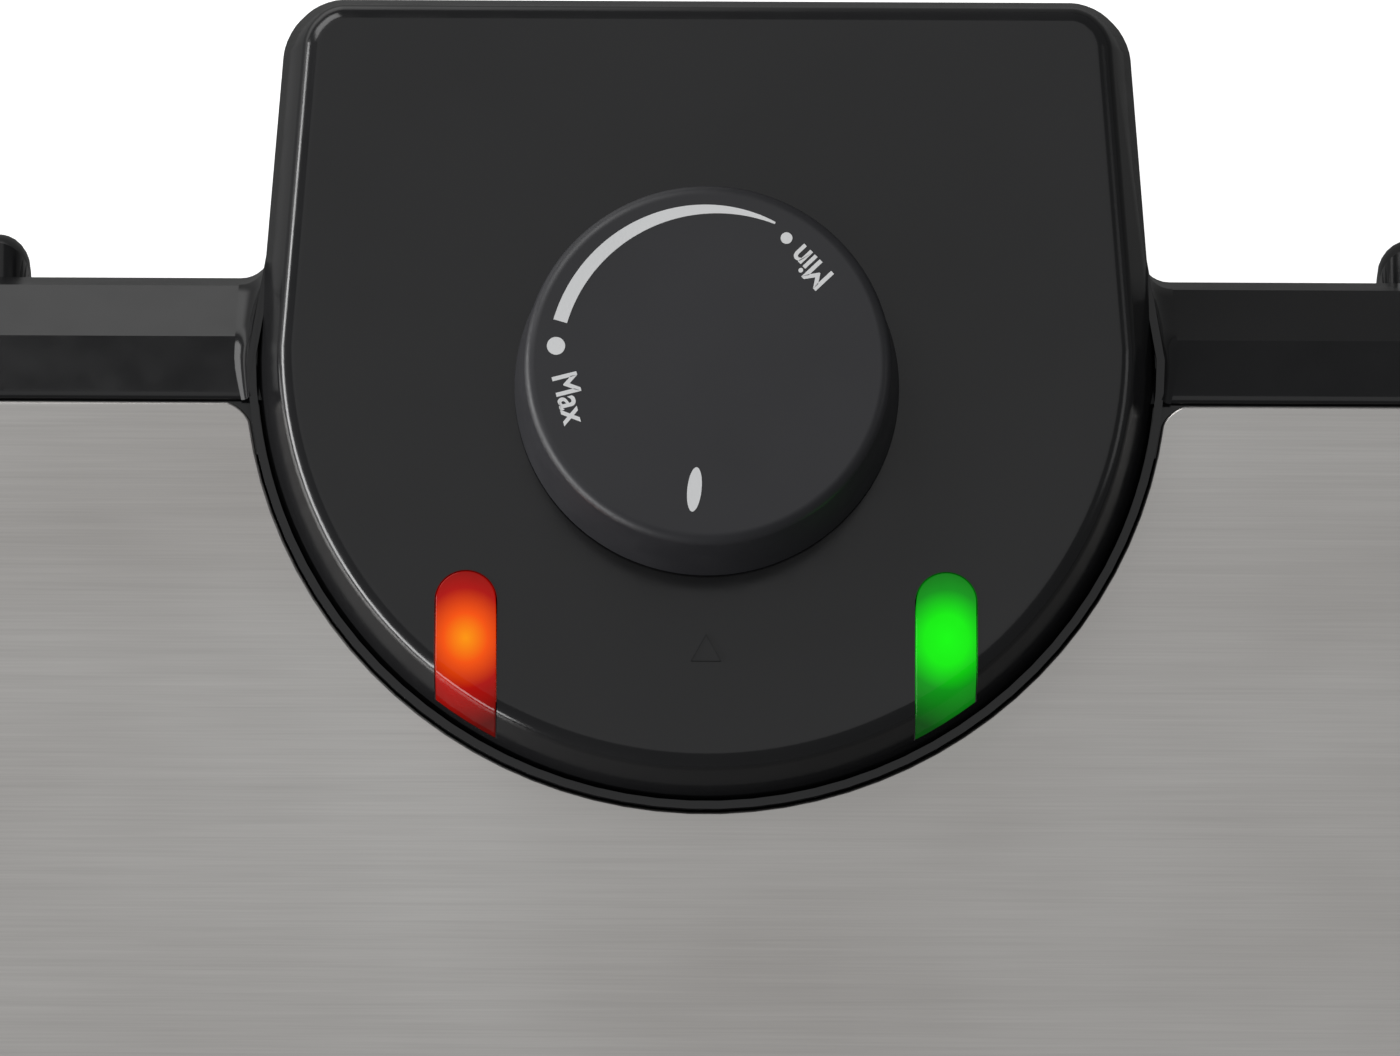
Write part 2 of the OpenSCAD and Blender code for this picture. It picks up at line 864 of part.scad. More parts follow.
// Section of the lid frame: plate ledge, outer wall, three facets and steel ledge
module lid_section() {
  r = corner_r;
  edge = r - plate_margin + spigot_gap;
  ledge = r - plate_margin - ledge_in;
  z3 = lid_h;
  z2 = z3 - upper_drop;
  z1 = z2 - lower_drop;
  z0 = z1 - skirt_drop;
  polygon([
    [r, 0],
    [r, z0],
    [r - skirt_run, z1],
    [r - skirt_run - lower_run, z2],
    [r - border, z3],
    [r - border, z3 - steel_t],
    [r - border - steel_ledge, z3 - steel_t],
    [r - border - steel_ledge, z3 - steel_t - wall],
    [r - border, z3 - steel_t - wall],
    [r - skirt_run - lower_run - 1, z2 - wall],
    [r - skirt_run - wall, z1 - 1],
    [r - wall, z0],
    [r - wall, flange_t + ledge_t],
    [ledge, flange_t + ledge_t],
    [ledge, flange_t],
    [edge, flange_t],
    [edge, 0]]);
}

// Fills the corner between a straight edge (its y at 0) and the housing's arc,
// with a radius on the edge's front side
module notch_fillet(r) {
  reach = arc_r + r;
  depth = arc_back + r;
  x = sqrt(reach * reach - depth * depth);
  touch = [x * arc_r / reach, arc_back - depth * arc_r / reach];
  for (s = [-1, 1])
    translate([0, knob_y])
      difference() {
        polygon([[s * x, 0.01], [s * x, -r], [s * touch.x, touch.y],
                 [s * (touch.x - 3), touch.y], [s * (arc_r - 3), 0.01]]);
        translate([s * x, -r])
          circle(r);
      }
}

module steel_plan(gap) {
  difference() {
    translate([0, mid_y])
      round_rect(body_w - 2 * border - 2 * gap, body_d - 2 * border - 2 * gap,
                 corner_r - border - gap);
    house_plan(-gap);
    notch_fillet(notch_r);
  }
}

module steel_cover() {
  color(steel_grey)
    translate([0, 0, steel_z - steel_t])
      linear_extrude(steel_t)
        steel_plan(0.15);
}

// Collar that rings the control housing where it stands in the lid
module collar() {
  intersection() {
    difference() {
      union() {
        translate([0, 0, cover_foot - 4])
          linear_extrude(lip_z - cover_foot + 4)
            house_plan(0);
        translate([0, 0, floor_z])
          linear_extrude(lip_z - floor_z)
            intersection() {
              house_plan(0);
              translate([-arc_r, tray_rear_y])
                square([2 * arc_r, rear_y - tray_rear_y]);
            }
      }
      translate([0, 0, cover_foot])
        linear_extrude(10)
          house_plan(lip - 0.1);
      translate([0, 0, floor_z - 1])
        linear_extrude(40)
          house_plan(lip + cover_wall + 0.5);
    }
    half_space(rear_y, -1);
  }
}

module lid_frame() {
  color(black_plastic)
    difference() {
      union() {
        difference() {
          translate([0, mid_y, lid_low])
            sweep_round(body_w, body_d, corner_r)
              lid_section();
          // room for the control housing
          translate([0, 0, floor_z])
            linear_extrude(60)
              house_plan(0.5);
        }
        collar();
        for (s = [-1, 1], t = [-1, 1]) {
          x = s * hinge_x + t * lid_knuckle_x;
          translate([x, hinge_y, part_z])
            bar_x(knuckle_r, lid_knuckle_w);
          translate([x - lid_knuckle_w / 2, rear_y - 2 * wall, lid_low])
            cube([lid_knuckle_w, 2 * wall + hinge_back + knuckle_r * 0.5, knuckle_r * 1.6]);
        }
      }
      for (s = [-1, 1]) {
        knuckle_room(knuckle_w + 2 * knuckle_gap, s * hinge_x);
        for (t = [-1, 1])
          translate([s * hinge_x + t * lid_knuckle_x, hinge_y, part_z])
            bar_x(pin_r + run_gap, lid_knuckle_w + 2);
        translate([s * handle_screw_x, front_y - 1, lid_handle_z + lid_handle_h / 2])
          bar_y(screw_hole_r, wall + 2);
      }
      translate([-loom_x, loom_y, lid_low - 1])
        cylinder(h = flange_t + ledge_t + 2, r = loom_r + loom_gap);
      translate([-arc_r, loom_y, loom_pass_z])
        bar_x(loom_r + loom_gap, 24);
    }
}

// ---------- control housing ----------

// Slot for a lens, seen from above
module lens_plan(s) {
  translate([s * lens_x, knob_y - lens_start - lens_w / 2])
    circle(lens_w / 2);
  translate([s * lens_x - lens_w / 2, knob_y - arc_r])
    square([lens_w, arc_r - lens_start - lens_w / 2]);
}

module control_cover() {
  mark = 3.2;
  mark_y = knob_y - 29.2;
  roof_z = cover_top - cover_wall;
  color(black_plastic)
    difference() {
      union() {
        difference() {
          house_block(cover_foot, lip, cover_top, top_inset);
          house_block(cover_foot - 1, lip + cover_wall, roof_z, top_inset + cover_wall);
        }
        // skirt of the overhang, behind the lid
        intersection() {
          difference() {
            house_block(floor_z - wall, 0, cover_foot, lip);
            house_block(floor_z - wall - 1, cover_wall, cover_foot + 1, lip + cover_wall);
          }
          half_space(rear_y + 0.2, 1);
        }
        // posts for the floor screws and for the lamp bracket
        for (s = [-1, 1]) {
          translate([s * 30, rear_y + overhang / 2, floor_z])
            cylinder(h = roof_z - floor_z + 0.5, r = boss_r);
          translate([s * lamp_post_x, knob_y - lamp_y, lamp_plate_z + lamp_plate_t])
            cylinder(h = roof_z - lamp_plate_z - lamp_plate_t + 0.5, r = boss_r);
        }
        // raised arrow that the knob is read against
        translate([0, mark_y, cover_top - 0.1])
          linear_extrude(0.3)
            difference() {
              polygon([[-mark / 2, -mark / 2], [mark / 2, -mark / 2], [0, mark / 2]]);
              polygon([[-mark / 4, -mark / 3], [mark / 4, -mark / 3], [0, mark / 4]]);
            }
      }
      translate([0, knob_y, cover_top - 10])
        cylinder(h = 20, r = stat_bush_r + 0.4);
      for (s = [-1, 1]) {
        translate([0, 0, cover_foot + 1.6])
          linear_extrude(20)
            lens_plan(s);
        translate([s * 30, rear_y + overhang / 2, floor_z - 1])
          cylinder(h = 14, r = screw_r);
        translate([s * lamp_post_x, knob_y - lamp_y, lamp_plate_z])
          cylinder(h = 6, r = screw_r);
      }
    }
}

module control_floor() {
  color(black_plastic)
    difference() {
      intersection() {
        translate([0, 0, floor_z - wall])
          linear_extrude(wall)
            house_plan(cover_wall + 0.5);
        half_space(rear_y + 0.2, 1);
      }
      for (s = [-1, 1])
        translate([s * 30, rear_y + overhang / 2, floor_z - 10])
          cylinder(h = 20, r = screw_hole_r);
    }
}

module control_floor_screws() {
  color(zinc_grey)
    for (s = [-1, 1])
      translate([s * 30, rear_y + overhang / 2, floor_z - wall])
        screw(12);
}

module lens(s) {
  foot = cover_foot + 1.6;
  slope = (top_inset - lip) / (cover_top - cover_foot);
  intersection() {
    translate([0, 0, foot])
      linear_extrude(20)
        lens_plan(s);
    house_block(foot, lip + slope * 1.6 - lens_proud, cover_top + lens_proud,
                top_inset - lens_proud);
  }
}

module red_lens() {
  color(lamp_red) lens(-1);
}
module green_lens() {
  color(lamp_green) lens(1);
}

module indicator_lamps() {
  color(ceramic_white)
    for (s = [-1, 1])
      translate([s * lens_x, knob_y - lamp_y, lamp_plate_z + lamp_plate_t]) {
        cylinder(h = 2.5, r = lamp_r);
        translate([0, 0, 2.5])
          cylinder(h = cover_foot - lamp_plate_z - lamp_plate_t - 1.5, r = lamp_r - 0.5);
      }
}

module lamp_bracket() {
  color(zinc_grey)
    difference() {
      translate([-lens_x - 5, knob_y - lamp_y - 5, lamp_plate_z])
        cube([2 * lens_x + 10, 10, lamp_plate_t]);
      for (s = [-1, 1])
        translate([s * lamp_post_x, knob_y - lamp_y, lamp_plate_z - 1])
          cylinder(h = 4, r = screw_hole_r);
    }
}

// ---------- thermostat and knob ----------

module thermostat() {
  color(ceramic_white)
    difference() {
      union() {
        translate([-stat_w / 2, knob_y - stat_d / 2, stat_z])
          cube([stat_w, stat_d, stat_h]);
        translate([0, knob_y, stat_z])
          cylinder(h = stat_bush_z - stat_z, r = stat_bush_r);
      }
      translate([0, knob_y, stat_z + 2])
        cylinder(h = 40, r = spindle_r + run_gap);
    }
}

// Bent sheet from the plate's back to the underside of the thermostat
module thermostat_bracket() {
  t = stat_plate_t;
  color(zinc_grey)
    difference() {
      union() {
        translate([-12, knob_y - bracket_front, upper_back_z])
          cube([24, 14, t]);
        translate([-12, knob_y - bracket_front + 14 - t, upper_back_z])
          cube([24, t, stat_z - upper_back_z]);
        translate([-12, knob_y - bracket_front + 14 - t, stat_z - t])
          cube([24, bracket_front - 3, t]);
      }
      for (s = [-1, 1])
        translate([s * 7, knob_y - bracket_front + 6, upper_back_z - 1])
          cylinder(h = 4, r = screw_hole_r);
    }
}

module thermostat_screws() {
  color(zinc_grey)
    for (s = [-1, 1])
      translate([s * 7, knob_y - bracket_front + 6, upper_back_z + stat_plate_t])
        mirror([0, 0, 1])
          screw(stat_plate_t);
}

module thermal_fuse() {
  color(ceramic_white)
    translate([34, knob_y - 24, upper_back_z + 2])
      bar_x(2, 14);
  color(zinc_grey)
    translate([34, knob_y - 24, upper_back_z])
      difference() {
        translate([-3, -5, 0])
          cube([6, 10, 5]);
        translate([0, 0, 2])
          bar_x(2, 20);
      }
}

// Leads from the loom to the thermostat and from it to the upper heater's tails
module lid_wires() {
  tail_y = mid_y + loop_y + loop_d / 2;
  tail_z = lid_low + plate_back + element_r;
  stat_mid = stat_z + stat_h / 2;
  color(wire_red) {
    tube([[-loom_x, loom_y, lid_low], [-loom_x, loom_y, lid_low + 7],
          [-loom_x + 2, loom_y, loom_pass_z - 4], [-loom_x + 7, loom_y, loom_pass_z],
          [-arc_r + 10, loom_y, loom_pass_z], [-30, loom_y - 5, loom_pass_z + 5],
          [-stat_w / 2 - 8, knob_y, stat_mid], [-stat_w / 2 - 4, knob_y, stat_mid],
          [-stat_w / 2, knob_y, stat_mid]],
         loom_r);
    for (s = [-1, 1])
      tube([[s * stat_w / 2, knob_y - 7, stat_mid], [s * (stat_w / 2 + 2), knob_y - 7, stat_mid],
            [s * (stat_w / 2 + 4), knob_y - 7, stat_mid],
            [s * 22, knob_y - 22, tail_z + 2], [s * 17, tail_y + 9, tail_z],
            [s * 14, tail_y + 5, tail_z], [s * 14, tail_y + element_r * 0.45 + wire_gauge_r, tail_z]],
           wire_gauge_r);
  }
}

// Spindle with a flat, as it is cut into the knob's boss
module spindle_plan(r) {
  difference() {
    circle(r);
    translate([-r, r * 0.55])
      square([2 * r, r]);
  }
}

module thermostat_spindle() {
  color(zinc_grey)
    translate([0, knob_y, 0]) {
      translate([0, 0, stat_z + 2.2])
        cylinder(h = knob_z - stat_z - 2.2, r = spindle_r);
      translate([0, 0, knob_z - 0.1])
        linear_extrude(spindle_top - knob_z + 0.1)
          spindle_plan(spindle_r);
    }
}

module control_knob() {
  edge = 1.6;
  skin = 2;
  color(knob_grey)
    translate([0, knob_y, knob_z]) {
      difference() {
        rotate_extrude() {
          polygon([[0, 0], [knob_r, 0], [knob_r - 0.2, 1.2],
                   [knob_top_r + 0.3, knob_h - edge],
                   [knob_top_r - 0.1, knob_h - edge * 0.45],
                   [knob_top_r - edge * 0.6, knob_h - 0.1],
                   [knob_top_r - edge * 1.3, knob_h], [0, knob_h]]);
        }
        translate([0, 0, -1])
          cylinder(h = knob_h + 1 - skin, r = knob_top_r - skin);
      }
      difference() {
        cylinder(h = knob_h - skin + 0.5, r = spindle_r + 3);
        translate([0, 0, -1])
          linear_extrude(spindle_top - knob_z + 1)
            spindle_plan(spindle_r);
        translate([0, 0, 2])
          difference() {
            cylinder(h = 4, r = spindle_r + 4);
            translate([0, 0, -1])
              cylinder(h = 6, r = spindle_r + 2.2);
          }
      }
    }
}

// Spring ring that squeezes the knob's boss on to the spindle
module knob_clip() {
  color(zinc_grey)
    translate([0, knob_y, knob_z + 2.4])
      rotate(20)
        rotate_extrude(angle = 320)
          translate([spindle_r + 2.2, 0])
            square([0.8, 3]);
}

base_housing();
base_bottom();
rubber_feet();
bottom_screws();
lower_plate();
lower_plate_screws();
lower_element();
lower_element_clips();
lower_reflector();
base_handle();
base_handle_screws();
hinge_pins();
cord_gland();
gland_nut();
terminal_block();
base_wires();
lid_frame();
steel_cover();
upper_plate();
upper_plate_screws();
upper_element();
upper_element_clips();
upper_reflector();
lid_handle();
lid_handle_screws();
control_cover();
control_floor();
control_floor_screws();
red_lens();
green_lens();
indicator_lamps();
lamp_bracket();
thermostat();
thermostat_bracket();
thermostat_screws();
thermal_fuse();
lid_wires();
control_knob();
knob_clip();
thermostat_spindle();
latch_bail();
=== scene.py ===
"""Looks of the waffle maker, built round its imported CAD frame.

Everything is in metres, in the CAD's own axes: +X right, -Y the front with the handles, +Z up.
Shells that show are modelled again here with their real edge radii; inner parts keep their CAD
shape and only get their finish.
"""

import math

import bmesh
import bpy
from mathutils import Matrix, Vector


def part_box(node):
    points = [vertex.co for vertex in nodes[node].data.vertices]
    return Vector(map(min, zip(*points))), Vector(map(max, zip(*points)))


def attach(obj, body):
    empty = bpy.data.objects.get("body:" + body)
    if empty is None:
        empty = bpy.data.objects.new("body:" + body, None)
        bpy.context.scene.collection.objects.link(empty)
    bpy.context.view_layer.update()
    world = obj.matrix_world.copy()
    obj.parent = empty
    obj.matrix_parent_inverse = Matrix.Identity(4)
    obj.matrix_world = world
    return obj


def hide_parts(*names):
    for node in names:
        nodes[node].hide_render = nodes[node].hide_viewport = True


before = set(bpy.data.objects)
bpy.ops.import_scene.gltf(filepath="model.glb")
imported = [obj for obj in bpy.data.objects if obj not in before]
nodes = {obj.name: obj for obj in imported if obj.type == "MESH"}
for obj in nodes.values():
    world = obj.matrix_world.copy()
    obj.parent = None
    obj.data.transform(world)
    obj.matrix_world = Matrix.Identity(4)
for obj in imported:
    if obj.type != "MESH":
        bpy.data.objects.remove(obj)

MM = 0.001
KNOB_GAP = 0.6 * MM
REAR_INSET = 2 * MM
scene = bpy.context.scene
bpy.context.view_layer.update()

# ---------- places read from the CAD ----------

knob_low, knob_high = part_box("control_knob")
pin_low, pin_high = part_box("hinge_pins")
lens_box = {-1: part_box("red_lens"), 1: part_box("green_lens")}

knob_x = (knob_low.x + knob_high.x) / 2
knob_y = (knob_low.y + knob_high.y) / 2
knob_r = (knob_high.x - knob_low.x) / 2
cover_top = knob_low.z - KNOB_GAP
cover_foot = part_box("control_cover")[0].z
steel_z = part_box("steel_cover")[1].z
hinge_y = (pin_low.y + pin_high.y) / 2
hinge_z = (pin_low.z + pin_high.z) / 2
rear_y = hinge_y - REAR_INSET

# ---------- camera ----------

# Width that the camera takes in at the height of the housing's top.
FIELD_W = 154 * MM
CAMERA_DISTANCE = 1.5
CAMERA_ELEVATION = 78
CAMERA_LEAN = -0.4
CAMERA_ROLL = 0.25
AIM_SIDE = -0.7 * MM
AIM_BACK = -15.75 * MM
SENSOR = 36


def make_camera():
    """A long lens looking steeply down on the rear of the lid, from the front."""
    aim = Vector((knob_x + AIM_SIDE, knob_y + AIM_BACK, cover_top))
    rise = math.radians(CAMERA_ELEVATION)
    back = Vector((math.tan(math.radians(CAMERA_LEAN)), -math.cos(rise), math.sin(rise)))
    back.normalize()
    right = (Vector((1, 0, 0)) - back * back.x).normalized()
    up = back.cross(right)
    turn = Matrix((right, up, back)).transposed()
    data = bpy.data.cameras.new("studio_camera")
    data.sensor_width = SENSOR
    data.lens = SENSOR * CAMERA_DISTANCE / FIELD_W
    data.clip_start = 0.05
    data.clip_end = 100
    camera = bpy.data.objects.new("studio_camera", data)
    scene.collection.objects.link(camera)
    roll = Matrix.Rotation(math.radians(CAMERA_ROLL), 3, "Z")
    stand = Matrix.Translation(aim + back * CAMERA_DISTANCE)
    camera.matrix_world = stand @ (turn @ roll).to_4x4()
    scene.camera = camera


make_camera()

# ---------- materials ----------


def linear(hex_code):
    """sRGB hex to the linear colour that a shader takes."""
    parts = [int(hex_code[i:i + 2], 16) / 255 for i in (1, 3, 5)]
    return [*(c / 12.92 if c <= 0.04045 else ((c + 0.055) / 1.055) ** 2.4 for c in parts), 1]


def add(tree, kind, settings=None, links=None):
    """Adds a node; settings go to its properties or its inputs' values, links to its inputs."""
    node = tree.nodes.new(kind)
    for key, value in (settings or {}).items():
        if isinstance(key, str) and hasattr(node, key):
            setattr(node, key, value)
        else:
            node.inputs[key].default_value = value
    for key, socket in (links or {}).items():
        tree.links.new(socket, node.inputs[key])
    return node


def start(name, **settings):
    """A new Principled material; returns material, tree, shader and Object coordinates."""
    material = bpy.data.materials.new(name)
    material.use_nodes = True
    tree = material.node_tree
    tree.nodes.clear()
    shader = add(tree, "ShaderNodeBsdfPrincipled",
                 {key.replace("_", " "): value for key, value in settings.items()})
    add(tree, "ShaderNodeOutputMaterial", links={"Surface": shader.outputs[0]})
    where = add(tree, "ShaderNodeTexCoord").outputs["Object"]
    return material, tree, shader, where


def mottle(tree, where, size, detail=4, stretch=(1, 1, 1)):
    """Noise whose blotches are about size metres across."""
    placed = add(tree, "ShaderNodeMapping", {"Scale": stretch}, {"Vector": where})
    return add(tree, "ShaderNodeTexNoise", {"Scale": 1 / size, "Detail": detail},
               {"Vector": placed.outputs[0]}).outputs["Fac"]


def between(tree, factor, low, high, source=(0.3, 0.7)):
    """Spreads a noise's middle range over low to high."""
    return add(tree, "ShaderNodeMapRange", {"From Min": source[0], "From Max": source[1],
                                            "To Min": low, "To Max": high},
               {"Value": factor}).outputs[0]


def tones(tree, factor, *stops):
    """Colours along a factor, as (place, hex) pairs."""
    ramp = add(tree, "ShaderNodeValToRGB", links={"Fac": factor})
    band = ramp.color_ramp
    while len(band.elements) < len(stops):
        band.elements.new(0.5)
    for element, (place, code) in zip(band.elements, stops):
        element.position = place
        element.color = linear(code)
    return ramp.outputs["Color"]


def bumped(tree, shader, height, depth, strength=1.0):
    """Bump whose height runs over depth metres."""
    bump = add(tree, "ShaderNodeBump", {"Strength": strength, "Distance": depth},
               {"Height": height})
    tree.links.new(bump.outputs[0], shader.inputs["Normal"])


FLOW_MARK = 22 * MM
WIPE_MARK = 5 * MM


def moulded(name, dark, light, rough, grain, grain_depth, ior=1.5):
    """Moulded skin: a faint flow mottle, handling marks in the gloss, the tool's fine grain."""
    material, tree, shader, where = start(name, IOR=ior)
    flow = mottle(tree, where, FLOW_MARK, 3)
    tree.links.new(tones(tree, flow, (0.3, dark), (0.72, light)), shader.inputs["Base Color"])
    wiped = mottle(tree, where, WIPE_MARK, 5)
    tree.links.new(between(tree, wiped, rough[0], rough[1]), shader.inputs["Roughness"])
    bumped(tree, shader, mottle(tree, where, grain, 2), grain_depth)
    return material


def metal(name, dark, light, rough, grain, grain_depth, stretch=(1, 1, 1)):
    """Bare metal: two close tones along its rolling or plating marks."""
    material, tree, shader, where = start(name, Metallic=1.0)
    marks = mottle(tree, where, grain, 4, stretch)
    tree.links.new(tones(tree, marks, (0.3, dark), (0.7, light)), shader.inputs["Base Color"])
    tree.links.new(between(tree, marks, rough[0], rough[1]), shader.inputs["Roughness"])
    bumped(tree, shader, marks, grain_depth)
    return material


SCRATCH = 0.25 * MM
STREAK = 1.4 * MM
# Size of the painted sheen's lighter and darker patches on the steel.
SHEEN_CLOUD = 45 * MM


def brushed_stainless():
    """430 stainless sheet, belt-brushed along X: long fine streaks, and a broad painted sheen
    across.

    The real scratches are about 0.05 mm apart. They are drawn coarser so that they show.
    """
    material, tree, shader, where = start("brushed_430_stainless_sheet", Metallic=1.0)
    fine = mottle(tree, where, SCRATCH, 3, (0.012, 1, 1))
    long = mottle(tree, where, STREAK, 3, (0.02, 1, 1))
    sheen_cloud = mottle(tree, where, SHEEN_CLOUD, 3, (0.6, 1, 1))
    streaks = add(tree, "ShaderNodeMix", {"data_type": "FLOAT", 0: 0.4}, {2: fine, 3: long})
    base = tones(tree, streaks.outputs[0], (0.28, "#cac8c5"), (0.72, "#dbd9d6"))
    # Painted sheen: broad lighter and darker patches multiplied into the base colour, standing in
    # for uneven reflection across the sheet.
    sheen = tones(tree, sheen_cloud, (0.3, "#e8e6e5"), (0.7, "#ffffff"))
    mixed = add(tree, "ShaderNodeMix", {"data_type": "RGBA", "blend_type": "MULTIPLY", 0: 1.0},
                {6: base, 7: sheen})
    tree.links.new(mixed.outputs[2], shader.inputs["Base Color"])
    tree.links.new(between(tree, streaks.outputs[0], 0.3, 0.38), shader.inputs["Roughness"])
    bumped(tree, shader, streaks.outputs[0], 0.012 * MM, 0.5)
    return material


FLECK = 0.5 * MM
DULL_PATCH = 9 * MM


def coated_casting():
    """Die-cast aluminium under a sintered non-stick coat: near black, pale flecks, soft sheen."""
    material, tree, shader, where = start("ptfe_coated_aluminium_casting", IOR=1.38)
    flecks = mottle(tree, where, FLECK, 2)
    tree.links.new(tones(tree, flecks, (0.4, "#1d1d1f"), (0.62, "#2a2a2c"), (0.74, "#4b4b4e")),
                   shader.inputs["Base Color"])
    tree.links.new(between(tree, mottle(tree, where, DULL_PATCH, 4), 0.36, 0.52),
                   shader.inputs["Roughness"])
    bumped(tree, shader, flecks, 0.03 * MM, 0.6)
    return material


# How far in front of the knob's middle the lamps stand, and how fast their glow fades along
# each axis, per metre.
LAMP_BACK = 28.2 * MM
GLOW_FADE = Vector((115, 100, 60))
GLOW_STRENGTH = 0.95


def lit_lens(name, side, hot, warm, deep, edge, body):
    """Tinted clear polycarbonate over a lamp: bright over the lamp, deeper towards its ends."""
    material, tree, shader, where = start(name, IOR=1.58, Roughness=0.08, Specular_IOR_Level=0.15)
    low, high = lens_box[side]
    lamp = Vector(((low.x + high.x) / 2, knob_y - LAMP_BACK, cover_top))
    placed = add(tree, "ShaderNodeMapping",
                 {"Location": [-a * b for a, b in zip(lamp, GLOW_FADE)], "Scale": GLOW_FADE},
                 {"Vector": where})
    away = add(tree, "ShaderNodeVectorMath", {"operation": "LENGTH"}, {0: placed.outputs[0]})
    glow = tones(tree, away.outputs["Value"],
                 (0.0, hot), (0.28, warm), (0.56, deep), (0.95, edge))
    tint = tones(tree, mottle(tree, where, 3 * MM), (0.3, edge), (0.7, body))
    tree.links.new(tint, shader.inputs["Base Color"])
    tree.links.new(glow, shader.inputs["Emission Color"])
    shader.inputs["Emission Strength"].default_value = GLOW_STRENGTH
    bumped(tree, shader, mottle(tree, where, 0.8 * MM, 2), 0.01 * MM)
    return material


PAPER_GLOW = 0.8
CARD_GLOW = 0.85
CARD_X = (-0.06, 0.02)
CARD_Y = (0.24, 0.36)


def floor_paper():
    """Matt white seamless paper.

    Seen directly it is white from every side. Its light on the object is only a grey table's, so
    that glossy walls stay black, but for a painted light: a patch behind the object on the left
    that glows, in light and reflections only, in place of a white card.
    """
    material, tree, shader, where = start("studio_paper", Roughness=0.9)
    fibres = mottle(tree, where, 4 * MM, 3)
    pale = tones(tree, fibres, (0.3, "#f4f4f3"), (0.7, "#fafafa"))
    dim = tones(tree, fibres, (0.3, "#727271"), (0.7, "#767676"))
    seen = add(tree, "ShaderNodeLightPath").outputs["Is Camera Ray"]
    base = add(tree, "ShaderNodeMix", {"data_type": "RGBA"}, {0: seen, 6: dim, 7: pale})
    tree.links.new(base.outputs[2], shader.inputs["Base Color"])
    tree.links.new(pale, shader.inputs["Emission Color"])
    # Painted light: a glowing patch of paper at the left rear, seen only in light and
    # reflections, standing in for a white card.
    place = add(tree, "ShaderNodeSeparateXYZ", links={"Vector": where})
    leftward = between(tree, place.outputs["X"], CARD_GLOW, 0, CARD_X)
    card = add(tree, "ShaderNodeMath", {"operation": "MULTIPLY"},
               {0: between(tree, place.outputs["Y"], 0, 1, CARD_Y), 1: leftward})
    glow = add(tree, "ShaderNodeMix", {"data_type": "FLOAT", 3: PAPER_GLOW},
               {0: seen, 2: card.outputs[0]})
    tree.links.new(glow.outputs[0], shader.inputs["Emission Strength"])
    return material


# Injection-moulded PBT from a polished tool: deep black with a soft shine.
housing_black = moulded("polished_moulded_pbt", "#1b1b1c", "#1f1f20", (0.13, 0.2),
                        0.5 * MM, 0.002 * MM)
# The same resin from a spark-eroded tool: fine even grain, no clear reflection.
underside_black = moulded("spark_eroded_pbt", "#1c1c1d", "#232324", (0.45, 0.58),
                          0.45 * MM, 0.03 * MM)
# Compression-moulded thermoset with a satin skin: a shade lighter and flatter than the housing.
knob_satin = moulded("satin_thermoset", "#2b2b2e", "#303033", (0.38, 0.48),
                     0.35 * MM, 0.008 * MM)
# Pad-printed ink: off-white and dry.
print_ink = moulded("pad_printed_ink", "#eeeff0", "#fafafa", (0.55, 0.7), 0.25 * MM, 0.01 * MM)
# Moulded EPDM: dull, slightly dusty.
rubber = moulded("moulded_epdm_rubber", "#171717", "#232323", (0.6, 0.75), 0.6 * MM, 0.02 * MM)
# Braided glass sleeve, varnished red-brown; its braid stands as a coarse grain.
sleeve = moulded("varnished_glass_sleeve", "#6d2a1c", "#8a3a26", (0.5, 0.65),
                 0.7 * MM, 0.05 * MM)
# Pressed and fired steatite: cream, faintly glazed.
steatite = moulded("pressed_steatite", "#d8d2c4", "#e6e1d5", (0.35, 0.5),
                   0.8 * MM, 0.015 * MM, 1.6)
# Drawn glass envelope of a neon lamp, with its warm gas colour.
lamp_glass = moulded("neon_lamp_glass", "#d9b8a4", "#ecd6c6", (0.08, 0.14),
                     3 * MM, 0.004 * MM, 1.5)
steel = brushed_stainless()
coating = coated_casting()
# Zinc-plated steel: bluish grey with a faint spangle.
plated = metal("zinc_plated_steel", "#a5a8ab", "#c3c6c8", (0.25, 0.36), 1.2 * MM, 0.01 * MM)
# Nickel-plated spring wire: warm and bright.
nickel = metal("nickel_plated_wire", "#b5afa5", "#cfc9bf", (0.14, 0.24), 0.8 * MM, 0.004 * MM)
# Hot-dip aluminised sheet: soft bright grey with rolling marks.
aluminised = metal("aluminised_sheet", "#a9a9a8", "#c6c6c4", (0.32, 0.48),
                   2 * MM, 0.01 * MM, (0.15, 1, 1))
# Stainless heater sheath after firing: grey-brown, dull.
sheath = metal("fired_heater_sheath", "#5d564e", "#7d766c", (0.4, 0.55), 1.5 * MM, 0.02 * MM)
# Tinted clear polycarbonate, lit from behind.
red_glow = lit_lens("red_polycarbonate_lens", -1,
                    "#ff9a00", "#f65400", "#a80c05", "#4c0806", "#2c0302")
green_glow = lit_lens("green_polycarbonate_lens", 1,
                      "#0cff02", "#0cf002", "#0a9014", "#0c4410", "#042406")

# ---------- mesh helpers ----------

WELD = 2e-6
FLAT = math.radians(0.6)


def verts_in(geom):
    """The vertices among an operator's results."""
    return [v for v in geom if isinstance(v, bmesh.types.BMVert)]


def round_edges(bm, edges, width, segments, clamp=True):
    """Rounds the given edges."""
    bmesh.ops.bevel(bm, geom=edges, offset=width, offset_type="OFFSET", segments=segments,
                    profile=0.5, affect="EDGES", clamp_overlap=clamp, material=-1)


def shade(piece, sharp, weighted=True):
    """Smooth faces, sharp edges where they turn by more than sharp degrees, even normals."""
    piece.data.shade_smooth()
    piece.data.set_sharp_from_angle(angle=math.radians(sharp))
    if weighted:
        piece.modifiers.new("even shading", "WEIGHTED_NORMAL").keep_sharp = True


def cube(bm, low, high):
    """Adds a block between two corners."""
    low, high = Vector(low), Vector(high)
    bmesh.ops.create_cube(bm, size=1, matrix=Matrix.Translation((low + high) / 2)
                          @ Matrix.Diagonal((*(high - low), 1)))


